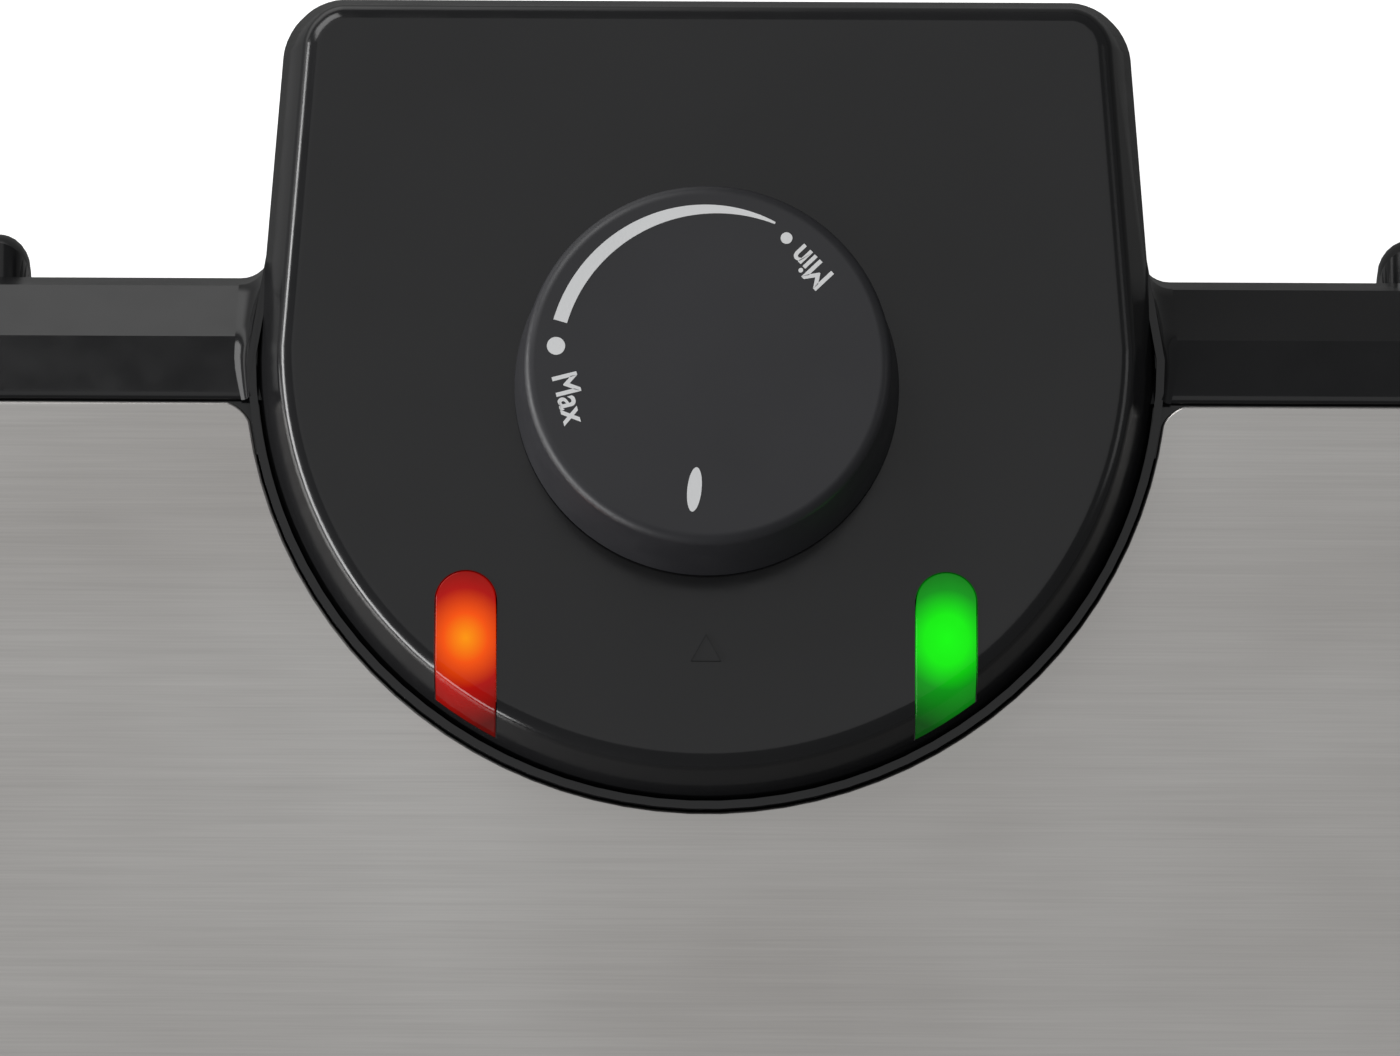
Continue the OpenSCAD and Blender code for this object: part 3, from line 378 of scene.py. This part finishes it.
def finish_piece(bm, name, material, body, replaced=(), sharp=35, weighted=True):
    """Turns a bmesh into a piece that rides on a body and stands for the replaced nodes."""
    mesh = bpy.data.meshes.new(name)
    bm.to_mesh(mesh)
    bm.free()
    if "custom_normal" in mesh.attributes:
        mesh.attributes.remove(mesh.attributes["custom_normal"])
    mesh.materials.clear()
    mesh.materials.append(material)
    piece = bpy.data.objects.new(name, mesh)
    scene.collection.objects.link(piece)
    shade(piece, sharp, weighted)
    if body:
        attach(piece, body)
    if replaced:
        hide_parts(*replaced)
    return piece


def cad_shape(node):
    """A welded copy of a CAD node, its flat faces whole again."""
    bm = bmesh.new()
    bm.from_mesh(nodes[node].data)
    bmesh.ops.remove_doubles(bm, verts=bm.verts, dist=WELD)
    bmesh.ops.dissolve_limit(bm, angle_limit=FLAT, verts=bm.verts, edges=bm.edges)
    return bm


def soften(bm, width, segments=2, angle=28, keep=None):
    """Rounds every edge that turns by more than angle."""
    turned = [e for e in bm.edges if len(e.link_faces) == 2
              and e.calc_face_angle() > math.radians(angle) and (keep is None or keep(e))]
    round_edges(bm, turned, width, segments)


def soft_copy(node, name, material, body, width, segments=2):
    """A piece with a CAD node's shape and rounded edges."""
    bm = cad_shape(node)
    soften(bm, width, segments)
    finish_piece(bm, name, material, body, (node,))


def baked(piece):
    """Gives a piece its modifiers' result as its own mesh."""
    graph = bpy.context.evaluated_depsgraph_get()
    mesh = bpy.data.meshes.new_from_object(piece.evaluated_get(graph))
    piece.modifiers.clear()
    piece.data = mesh


def boolean(piece, tool, operation):
    """Cuts or intersects a piece with a tool, which is then thrown away."""
    modifier = piece.modifiers.new(operation, "BOOLEAN")
    modifier.operation = operation
    modifier.object = tool
    modifier.solver = "EXACT"
    baked(piece)
    bpy.data.objects.remove(tool)


# ---------- control housing ----------

# The housing's outline and levels, the same as in the CAD source.
ARC_R = 50.8 * MM
ARC_BACK = 4.8 * MM
HOUSE_BACK = 47 * MM
FLANK_TAPER = 2.8 * MM
REAR_CHAMFER = 4.5 * MM
LIP = 1 * MM
SKIRT_INSET = 0.3 * MM
TOP_INSET = 3.8 * MM
SEAT_Z = steel_z - 1 * MM
COVER_WALL = 2.2 * MM
ROLLED_EDGE = 1.6 * MM
REAR_CORNER = 2.6 * MM
# Clearances, and how far a cutting tool runs past what it cuts.
CUT_PAST = 5 * MM
SKIRT_GAP = 0.2 * MM
SLOT_GAP = 0.15 * MM
SLOT_FOOT = 1.5 * MM
LENS_FOOT = 1.7 * MM
LENS_PROUD = 0.12 * MM
LENS_EDGE = 0.25 * MM
ARC_STEPS = 72
SLOT_STEPS = 20


def half_round(bm, first, centre, steps, corners):
    """Face bounded by a half circle that starts at first, and by the corners that close it."""
    start_vert = bm.verts.new(first)
    arc = bmesh.ops.spin(bm, geom=[start_vert], cent=centre, axis=(0, 0, 1), dvec=(0, 0, 0),
                         angle=math.pi, steps=steps)
    rest = [bm.verts.new(corner) for corner in corners]
    chain = [*verts_in(arc["geom_last"]), *rest, start_vert]
    rim = [e for e in bm.edges if e.is_wire]
    rim += [bm.edges.new(pair) for pair in zip(chain, chain[1:])]
    return bmesh.ops.edgeloop_fill(bm, edges=rim)["faces"][0], rest


def housing_face(bm, inset, z):
    """The control housing's outline, drawn in by inset: round in front, chamfered behind."""
    radius = ARC_R - inset
    centre = Vector((knob_x, knob_y + ARC_BACK, z))
    flank = ARC_R - FLANK_TAPER - inset
    back = HOUSE_BACK - inset
    face, corners = half_round(bm, centre - Vector((radius, 0, 0)), centre, ARC_STEPS, [
        (knob_x + x, knob_y + y, z) for x, y in (
            (flank, back - REAR_CHAMFER), (flank - REAR_CHAMFER, back),
            (REAR_CHAMFER - flank, back), (-flank, back - REAR_CHAMFER))])
    if face.normal.z < 0:
        face.normal_flip()
    bmesh.ops.bevel(bm, geom=corners, offset=REAR_CORNER, offset_type="OFFSET", segments=5,
                    profile=0.5, affect="VERTICES", material=-1)
    bm.faces.ensure_lookup_table()
    return bm.faces[0]


def step_in(bm, face, inward, up):
    """Draws a face in and lifts it, leaving a wall behind it."""
    bmesh.ops.inset_individual(bm, faces=[face], thickness=inward, depth=up,
                               use_even_offset=True)


def slot_tool(side, gap, low_z, high_z):
    """Tall solid with a lens's outline: round at the rear, running out past the front."""
    low, high = lens_box[side]
    half = (high.x - low.x) / 2
    first = Vector((half + gap, 0, 0))
    centre = Vector(((low.x + high.x) / 2, high.y - half, low_z))
    reach = Vector((0, -ARC_R, 0))
    bm = bmesh.new()
    face, _ = half_round(bm, centre + first, centre, SLOT_STEPS,
                         [centre - first + reach, centre + first + reach])
    top = bmesh.ops.extrude_face_region(bm, geom=[face])["geom"]
    bmesh.ops.translate(bm, verts=verts_in(top), vec=(0, 0, high_z - low_z))
    bmesh.ops.recalc_face_normals(bm, faces=bm.faces)
    return tool_from(bm)


def housing_solid(levels, rolled=0):
    """Closed solid through (height, inset) levels of the housing's outline, its top rolled."""
    bm = bmesh.new()
    height, inset = levels[0]
    face = housing_face(bm, inset, height)
    for next_height, next_inset in levels[1:]:
        step_in(bm, face, next_inset - inset, next_height - height)
        height, inset = next_height, next_inset
    if rolled:
        round_edges(bm, list(face.edges), rolled, 5)
    bmesh.ops.edgeloop_fill(bm, edges=[e for e in bm.edges if len(e.link_faces) == 1])
    bmesh.ops.recalc_face_normals(bm, faces=bm.faces)
    return bm


def tool_from(bm):
    """A cutting tool, which boolean throws away."""
    return finish_piece(bm, "cutter", housing_black, None, weighted=False)


def box_tool(low, high):
    bm = bmesh.new()
    cube(bm, low, high)
    return tool_from(bm)


def make_housing_cap():
    """The housing's cover: a drafted wall, a rolled top edge and the skirt behind the lid."""
    roof_z = cover_top - COVER_WALL
    outer = housing_solid([(cover_foot, SKIRT_INSET), (SEAT_Z, LIP), (cover_top, TOP_INSET)],
                          ROLLED_EDGE)
    cap = finish_piece(outer, "housing_cap", housing_black, "lid",
                       ("control_cover",), weighted=False)
    boolean(cap, box_tool((-ARC_R * 2, knob_y - ARC_R * 2, cover_foot - CUT_PAST),
                          (ARC_R * 2, rear_y + SKIRT_GAP, SEAT_Z)), "DIFFERENCE")
    inner = housing_solid([(cover_foot - MM, COVER_WALL), (SEAT_Z, LIP + COVER_WALL),
                           (roof_z, TOP_INSET + COVER_WALL)])
    boolean(cap, tool_from(inner), "DIFFERENCE")
    for side in (-1, 1):
        slot = slot_tool(side, SLOT_GAP, steel_z + SLOT_FOOT, cover_top + CUT_PAST)
        boolean(cap, slot, "DIFFERENCE")
    shade(cap, 35)


def make_lens(side, name, material, node):
    """Lens that fills its slot and rolls over the housing's edge down to the lip."""
    foot = steel_z + LENS_FOOT
    foot_inset = LIP + (TOP_INSET - LIP) * (foot - SEAT_Z) / (cover_top - SEAT_Z)
    block = housing_solid([(foot, foot_inset - LENS_PROUD),
                           (cover_top + LENS_PROUD, TOP_INSET - LENS_PROUD)], ROLLED_EDGE)
    lens = finish_piece(block, name, material, "lid", (node,), weighted=False)
    boolean(lens, slot_tool(side, 0, foot - MM, cover_top + CUT_PAST), "INTERSECT")
    lens.data.set_sharp_from_angle(angle=math.radians(50))
    edge = lens.modifiers.new("polished edge", "BEVEL")
    edge.width = LENS_EDGE
    edge.segments = 2
    edge.limit_method = "ANGLE"
    edge.angle_limit = math.radians(50)
    shade(lens, 50)


ARROW_BACK = 29.2 * MM
ARROW_HALF = 1.65 * MM
ARROW_HEIGHT = 3.0 * MM
ARROW_LINE = 0.28 * MM
ARROW_SUNK = 0.05 * MM
ARROW_THICK = 0.2 * MM
ARROW_ROUND = 0.06 * MM


def make_arrow():
    """Thin raised triangle that the knob is read against."""
    bm = bmesh.new()
    half, height = ARROW_HALF, ARROW_HEIGHT
    middle = Vector((knob_x, knob_y - ARROW_BACK, cover_top - ARROW_SUNK))
    corners = [bm.verts.new(middle + Vector(p)) for p in (
        (-half, -height / 2, 0), (half, -height / 2, 0), (0, height / 2, 0))]
    face = bm.faces.new(corners)
    step_in(bm, face, ARROW_LINE, 0)
    ring = [f for f in bm.faces if f != face]
    bmesh.ops.delete(bm, geom=[face], context="FACES_ONLY")
    raised = bmesh.ops.extrude_face_region(bm, geom=ring)["geom"]
    bmesh.ops.translate(bm, verts=verts_in(raised), vec=(0, 0, ARROW_THICK))
    bmesh.ops.recalc_face_normals(bm, faces=bm.faces)
    soften(bm, ARROW_ROUND)
    finish_piece(bm, "setting_arrow", housing_black, "lid")


# ---------- knob ----------

KNOB_RIM = 1.2 * MM
KNOB_SKIN = 2.2 * MM
KNOB_FOOT = 0.8 * MM
KNOB_FOOT_STEP = 0.15 * MM
KNOB_DRAFT = 0.95 * MM
ARC_BEND = 0.3 * MM
INK_SPREAD = 0.07 * MM
INK_THICK = 0.03 * MM
LETTER = 3.9 * MM
LETTER_WIDTH = 0.86


def make_knob():
    """Plain drafted knob, hollow underneath, with a rolled top rim."""
    height = knob_high.z - knob_low.z
    bm = bmesh.new()
    bmesh.ops.create_circle(bm, cap_ends=True, radius=knob_r, segments=160,
                            matrix=Matrix.Translation((knob_x, knob_y, knob_low.z)))
    bm.faces.ensure_lookup_table()
    face = bm.faces[0]
    if face.normal.z < 0:
        face.normal_flip()
    step_in(bm, face, KNOB_FOOT_STEP, KNOB_FOOT)
    step_in(bm, face, KNOB_DRAFT, height - KNOB_FOOT)
    round_edges(bm, list(face.edges), KNOB_RIM, 6)
    knob = finish_piece(bm, "dial_knob", knob_satin, "knob", ("control_knob",))
    wall = knob.modifiers.new("wall", "SOLIDIFY")
    wall.thickness = KNOB_SKIN
    wall.offset = -1
    baked(knob)
    shade(knob, 40)


def on_dial(radius, angle, turn, stretch):
    """Place on the knob at a radius and angle, turned further and stretched along X."""
    where = math.radians(angle)
    return (Matrix.Translation((knob_x + radius * math.cos(where),
                                knob_y + radius * math.sin(where), 0))
            @ Matrix.Rotation(where + turn, 4, "Z") @ Matrix.Diagonal((stretch, 1, 1, 1)))


def lettering(bm, word, size, radius, angle):
    """Adds a word to the print, its letters' tops towards the knob's middle."""
    curve = bpy.data.curves.new(word, "FONT")
    curve.body = word
    curve.size = size
    curve.align_x = "CENTER"
    curve.align_y = "CENTER"
    text = bpy.data.objects.new(word, curve)
    scene.collection.objects.link(text)
    mesh = bpy.data.meshes.new_from_object(text)
    bpy.data.objects.remove(text)
    mesh.transform(on_dial(radius, angle, math.pi / 2, LETTER_WIDTH))
    letters = bmesh.new()
    letters.from_mesh(mesh)
    embolden(letters, INK_SPREAD)
    letters.to_mesh(mesh)
    letters.free()
    bm.from_mesh(mesh)


def embolden(bm, amount):
    """Moves the rims of flat letters outwards, as ink spreads under the pad."""
    bmesh.ops.remove_doubles(bm, verts=bm.verts, dist=WELD)
    moves = {}
    for vert in bm.verts:
        rims = [e for e in vert.link_edges if len(e.link_faces) == 1]
        outs = []
        for edge in rims:
            along = (edge.verts[1].co - edge.verts[0].co).normalized()
            out = Vector((along.y, -along.x, 0))
            inside = edge.link_faces[0].calc_center_median() - edge.verts[0].co
            outs.append(-out if out.dot(inside) > 0 else out)
        if len(outs) == 2:
            mitre = (outs[0] + outs[1]).normalized()
            moves[vert] = mitre * amount / max(mitre.dot(outs[0]), 0.5)
    for vert, move in moves.items():
        vert.co += move


def dot(bm, radius, angle, size, stretch=1):
    """Adds a round or stretched dot to the print."""
    bmesh.ops.create_circle(bm, cap_ends=True, radius=size, segments=32,
                            matrix=on_dial(radius, angle, 0, stretch))


def tapered_arc(bm, radius, start_angle, end_angle, thin, thick, steps=48):
    """Crescent, in an empty bmesh, that widens from its thin end to its thick end."""
    centre = Vector((knob_x, knob_y))
    edge = bm.edges.new([bm.verts.new((knob_x + radius + s * thin / 2, knob_y, 0))
                         for s in (-1, 1)])
    bmesh.ops.spin(bm, geom=[edge], cent=(*centre, 0), axis=(0, 0, 1), dvec=(0, 0, 0),
                   angle=math.radians(end_angle - start_angle), steps=steps)
    for vert in bm.verts:
        out = vert.co.xy - centre
        share = (math.degrees(math.atan2(out.y, out.x)) % 360) / (end_angle - start_angle)
        side = 1 if out.length > radius else -1
        width = thin + (thick - thin) * (1 - (1 - share) ** 3)
        middle = radius + ARC_BEND * math.cos(math.pi * share)
        vert.co.xy = centre + out.normalized() * (middle + side * width / 2)
    bmesh.ops.rotate(bm, verts=bm.verts, cent=(*centre, 0),
                     matrix=Matrix.Rotation(math.radians(start_angle), 3, "Z"))


def make_print():
    """Scale printed on the knob: a widening arc from Min to Max, two dots and the pointer."""
    bm = bmesh.new()
    tapered_arc(bm, 17.1 * MM, start_angle=65, end_angle=164, thin=0.25 * MM, thick=1.55 * MM)
    dot(bm, 16.7 * MM, angle=173.6, size=1.0 * MM)
    dot(bm, 16.5 * MM, angle=58.6, size=0.65 * MM)
    dot(bm, 14.2 * MM, angle=264.3, size=0.78 * MM, stretch=3.2)
    lettering(bm, "Max", LETTER, 15.7 * MM, angle=194.6)
    lettering(bm, "Min", LETTER, 15.7 * MM, angle=44)
    for face in bm.faces:
        if face.normal.z < 0:
            face.normal_flip()
    bmesh.ops.translate(bm, verts=bm.verts, vec=(0, 0, knob_high.z + INK_THICK))
    ink = finish_piece(bm, "dial_print", print_ink, "knob", weighted=False)
    ink.data.shade_flat()


# ---------- lid frame ----------

# Run and drop, in mm, of the rear border's facets, from the steel sheet down to the parting.
FACETS = ((0, 0), (7.9, 2.9), (15.4, 10.4), (18, 17.9), (18, 29))
BORDER = 18 * MM
BOSS_START = 76.5 * MM
BOSS_DOME = 3.6 * MM
# Where along the dome its rings are cut, and how much of the boss's size is left at its end.
DOME_RINGS = (1, 0.86, 0.7, 0.5, 0.3, 0.14, 0.05)
DOME_END = 0.42
FILLET_FRONT = 0.9 * MM
FILLET_REAR = 3.4 * MM
FILLET_STEPS = 8
FILLET_TUCK = 1.5 * MM
FILLET_SKIRT = 2.5 * MM
COLLAR_TUCK = 1.1 * MM
COLLAR_BAND = 4 * MM
COLLAR_ABOVE_HINGE = 12 * MM
COLLAR_DROP = 0.5 * MM
RIM_ROUND = 1.3 * MM
FRAME_ROUND = 0.4 * MM
NEAR = 0.1 * MM


def tuck_at(back):
    """How far the collar is drawn in at a distance behind the housing's round part."""
    return COLLAR_TUCK * min(back / (rear_y - knob_y - ARC_BACK), 1)


def flank_x(y):
    """Half-width at y of the collar round the control housing, tucked in towards its rear end."""
    back = y - knob_y - ARC_BACK
    if back <= 0:
        return math.sqrt(ARC_R ** 2 - back ** 2)
    return ARC_R - tuck_at(back) - FLANK_TAPER * back / (HOUSE_BACK - REAR_CHAMFER - ARC_BACK)


def border_profile(steps=6):
    """Points down the rear border, each with its outward direction and its fillet's radius."""
    points = [Vector((0, knob_y + run * MM, steel_z - drop * MM)) for run, drop in FACETS]
    spread = [a.lerp(b, k / steps) for a, b in zip(points, points[1:]) for k in range(steps)]
    spread.append(points[-1])
    faces = [(b - a).normalized() for a, b in zip(spread, spread[1:])]
    profile = []
    for k, point in enumerate(spread):
        along = (faces[max(k - 1, 0)] + faces[min(k, len(faces) - 1)]).normalized()
        share = min((point.y - knob_y) / BORDER, 1)
        profile.append((point, Vector((0, -along.z, along.y)),
                        FILLET_FRONT + (FILLET_REAR - FILLET_FRONT) * share))
    return profile


def add_border_fillet(bm, side):
    """Hollow round between the rear border's facets and the control housing's collar."""
    profile = border_profile()
    row = [bm.verts.new((side * (flank_x(point.y) - radius - FILLET_TUCK), point.y, point.z))
           for point, out, radius in profile]
    edges = [bm.edges.new(pair) for pair in zip(row, row[1:])]
    turns = [math.pi / 2 * k / FILLET_STEPS for k in range(FILLET_STEPS + 1)]
    for turn in [*turns, None]:
        grown = bmesh.ops.extrude_edge_only(bm, edges=edges)["geom"]
        edges = [e for e in grown if isinstance(e, bmesh.types.BMEdge)
                 and not any(v in row for v in e.verts)]
        follow = {v: next(e.other_vert(v) for e in v.link_edges if e.other_vert(v) in row)
                  for e in edges for v in e.verts}
        order = {v: k for k, v in enumerate(row)}
        row = sorted(follow, key=lambda v: order[follow[v]])
        for vert, (point, out, radius) in zip(row, profile):
            if turn is None:
                vert.co += Vector((-side, 0, -1)) * FILLET_SKIRT
                continue
            lift = out * radius * (1 - math.cos(turn))
            vert.co = Vector((side * (flank_x(point.y) + radius * (1 - math.sin(turn))),
                              point.y + lift.y, point.z + lift.z))


def round_bosses(bm):
    """Domes the inner ends of the lid's hinge bosses, about the hinge axis."""
    for side in (-1, 1):
        for step in DOME_RINGS:
            near = [f for f in bm.faces if min(v.co.y for v in f.verts) > rear_y - NEAR / 2
                    and BOSS_START - MM < min(v.co.x * side for v in f.verts)
                    < BOSS_START + BOSS_DOME]
            ends = {e for f in near for e in f.edges} | {v for f in near for v in f.verts}
            bmesh.ops.bisect_plane(bm, geom=[*ends, *near], dist=WELD, plane_no=(1, 0, 0),
                                   plane_co=(side * (BOSS_START + BOSS_DOME * step), 0, 0))
    for vert in bm.verts:
        reach = abs(vert.co.x)
        if vert.co.y > rear_y + NEAR and BOSS_START - MM < reach < BOSS_START + BOSS_DOME:
            share = min((BOSS_START + BOSS_DOME - reach) / BOSS_DOME, 1)
            size = DOME_END + (1 - DOME_END) * math.sqrt(max(1 - share ** 2, 0))
            vert.co.y = hinge_y + (vert.co.y - hinge_y) * size
            vert.co.z = hinge_z + (vert.co.z - hinge_z) * size


def make_lid_shell():
    """The lid's moulded frame: crisp facets, rounded hinge bosses, a tucked collar."""
    bm = cad_shape("lid_frame")
    for vert in bm.verts:
        side, reach = (1 if vert.co.x > 0 else -1), abs(vert.co.x)
        back = vert.co.y - knob_y - ARC_BACK
        high = vert.co.z > hinge_z + COLLAR_ABOVE_HINGE
        if back > MM and high and ARC_R - COLLAR_BAND < reach < ARC_R:
            vert.co.x -= side * tuck_at(back)
            vert.co.z = min(vert.co.z, SEAT_Z - COLLAR_DROP)
    round_bosses(bm)
    rim = [e for e in bm.edges if len(e.link_faces) == 2
           and all(abs(v.co.z - steel_z) < 0.02 * MM for v in e.verts)
           and e.calc_face_angle() > math.radians(40)]
    round_edges(bm, rim, RIM_ROUND, 4, clamp=False)
    soften(bm, FRAME_ROUND, 3, 14, lambda e: max(v.co.y for v in e.verts) < rear_y + 0.5 * MM
           and min(v.co.z for v in e.verts) < steel_z - 1.6 * MM
           or min(v.co.z for v in e.verts) > steel_z + NEAR)
    finish_piece(bm, "lid_shell", housing_black, "lid", ("lid_frame",), 42)


def make_collar_rounds():
    """The hollow rounds on both sides, as one piece."""
    bm = bmesh.new()
    for side in (-1, 1):
        add_border_fillet(bm, side)
    for side in (-1, 1):
        part = [f for f in bm.faces if f.calc_center_median().x * side > 0]
        bmesh.ops.recalc_face_normals(bm, faces=part)
        if sum(f.normal.z for f in part) < 0:
            bmesh.ops.reverse_faces(bm, faces=part)
    finish_piece(bm, "collar_rounds", housing_black, "lid", sharp=60)


# ---------- grips ----------


def make_grip(node, name, body, plan_round, edge_round):
    """Moulded grip: round in plan at its free end, with a full roll on every outer edge."""
    low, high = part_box(node)
    bm = bmesh.new()
    cube(bm, low, high)
    upright = [e for e in bm.edges if max(v.co.y for v in e.verts) < low.y + MM
               and abs(e.verts[0].co.x - e.verts[1].co.x) < MM]
    round_edges(bm, upright, plan_round, 8)
    outer = [e for e in bm.edges if min(v.co.y for v in e.verts) < high.y - NEAR
             and e.calc_face_angle() > math.radians(60)]
    round_edges(bm, outer, edge_round, 6)
    bmesh.ops.recalc_face_normals(bm, faces=bm.faces)
    finish_piece(bm, name, housing_black, body, (node,))


# ---------- waffle plates ----------

# Size of a peg's top against its foot, and the range of top areas, in m2, that tells a peg.
PEG_DRAFT = 0.8
PEG_AREA = (120e-6, 220e-6)
CASTING_ROUND = 0.9 * MM


def make_grid(node, name, body, up):
    """Cast grid plate: pegs narrow towards their tops and every edge has a casting round."""
    bm = cad_shape(node)
    tops = [f for f in bm.faces if f.normal.z * up > 0.99
            and PEG_AREA[0] < f.calc_area() < PEG_AREA[1]]
    for face in tops:
        middle = face.calc_center_median()
        bmesh.ops.scale(bm, verts=face.verts, vec=(PEG_DRAFT, PEG_DRAFT, 1),
                        space=Matrix.Translation(-middle))
    soften(bm, CASTING_ROUND)
    finish_piece(bm, name, coating, body, (node,))


# ---------- build ----------

make_housing_cap()
make_lens(-1, "red_window", red_glow, "red_lens")
make_lens(1, "green_window", green_glow, "green_lens")
make_arrow()
make_knob()
make_print()
make_lid_shell()
make_collar_rounds()
soft_copy("steel_cover", "steel_sheet", steel, "lid", 0.4 * MM, 3)
soft_copy("base_housing", "base_shell", housing_black, "base", 0.5 * MM)
soft_copy("base_bottom", "base_plate", underside_black, "base", 0.4 * MM)
soft_copy("rubber_feet", "moulded_feet", rubber, "base", 0.6 * MM)
make_grid("lower_plate", "lower_grid", "base", 1)
make_grid("upper_plate", "upper_grid", "lid", -1)
make_grip("base_handle", "base_grip", "base", plan_round=7 * MM, edge_round=2.6 * MM)
make_grip("lid_handle", "lid_grip", "lid", plan_round=9 * MM, edge_round=4.2 * MM)
soft_copy("cord_gland", "inlet_gland", rubber, "base", 0.4 * MM)

# CAD nodes that keep their shape, with their material.
KEPT = {
    "bottom_screws": plated, "lower_plate_screws": plated, "lower_element": sheath,
    "lower_element_clips": plated, "lower_reflector": aluminised, "base_handle_screws": plated,
    "hinge_pins": plated, "gland_nut": underside_black, "terminal_block": steatite,
    "base_wires": sleeve, "upper_plate_screws": plated, "upper_element": sheath,
    "upper_element_clips": plated, "upper_reflector": aluminised, "lid_handle_screws": plated,
    "control_floor": underside_black, "control_floor_screws": plated,
    "indicator_lamps": lamp_glass, "lamp_bracket": plated, "thermostat": steatite,
    "thermostat_bracket": plated, "thermostat_screws": plated, "thermal_fuse": steatite,
    "lid_wires": sleeve, "knob_clip": plated, "thermostat_spindle": plated,
    "latch_bail": nickel,
}
for node, material in KEPT.items():
    for place in nodes[node].material_slots:
        place.material = material

# ---------- studio ----------


FLOOR_HALF = 30
ROOM_GLOW = 0.16
LIGHT_AIM = Vector((0, 0, 0.05))
# Name, place, size in metres and power in watts.
SOFTBOXES = (
    # Wide and weak: lies in the mirror direction of every flat top.
    ("overhead_softbox", (0, 0.42, 1.9), (1.9, 1.7), 4.2),
    # Long and low: draws the thin bright line along rolled edges.
    ("left_softbox", (-1.35, -0.4, 0.38), (2.3, 0.3), 26),
    # Small and faint: keeps the right-hand walls from going flat.
    ("right_softbox", (1.7, 0.3, 1.1), (0.7, 0.5), 1.0),
    # Key light, off every facet's mirror direction but the left rear border's.
    ("rear_softbox", (-0.95, 1.55, 1.25), (1.3, 1.1), 16),
)


def make_floor():
    """The wide plain floor that the object stands on."""
    bm = bmesh.new()
    bmesh.ops.create_grid(bm, x_segments=1, y_segments=1, size=FLOOR_HALF)
    mesh = bpy.data.meshes.new("floor")
    bm.to_mesh(mesh)
    bm.free()
    mesh.materials.append(floor_paper())
    floor = bpy.data.objects.new("floor", mesh)
    scene.collection.objects.link(floor)


def softbox(name, place, size, power):
    """A rectangular area light that faces the object."""
    data = bpy.data.lights.new(name, "AREA")
    data.shape = "RECTANGLE"
    data.size, data.size_y = size
    data.energy = power
    lamp = bpy.data.objects.new(name, data)
    scene.collection.objects.link(lamp)
    lamp.location = place
    lamp.rotation_euler = (LIGHT_AIM - Vector(place)).to_track_quat("-Z", "Y").to_euler()


def make_light():
    """A dim, even room and the softboxes."""
    world = bpy.data.worlds.new("studio_room")
    world.use_nodes = True
    room = world.node_tree.nodes["Background"]
    room.inputs["Color"].default_value = linear("#f4f6f8")
    room.inputs["Strength"].default_value = ROOM_GLOW
    scene.world = world
    for box in SOFTBOXES:
        softbox(*box)


make_floor()
make_light()
scene.view_settings.view_transform = "Standard"
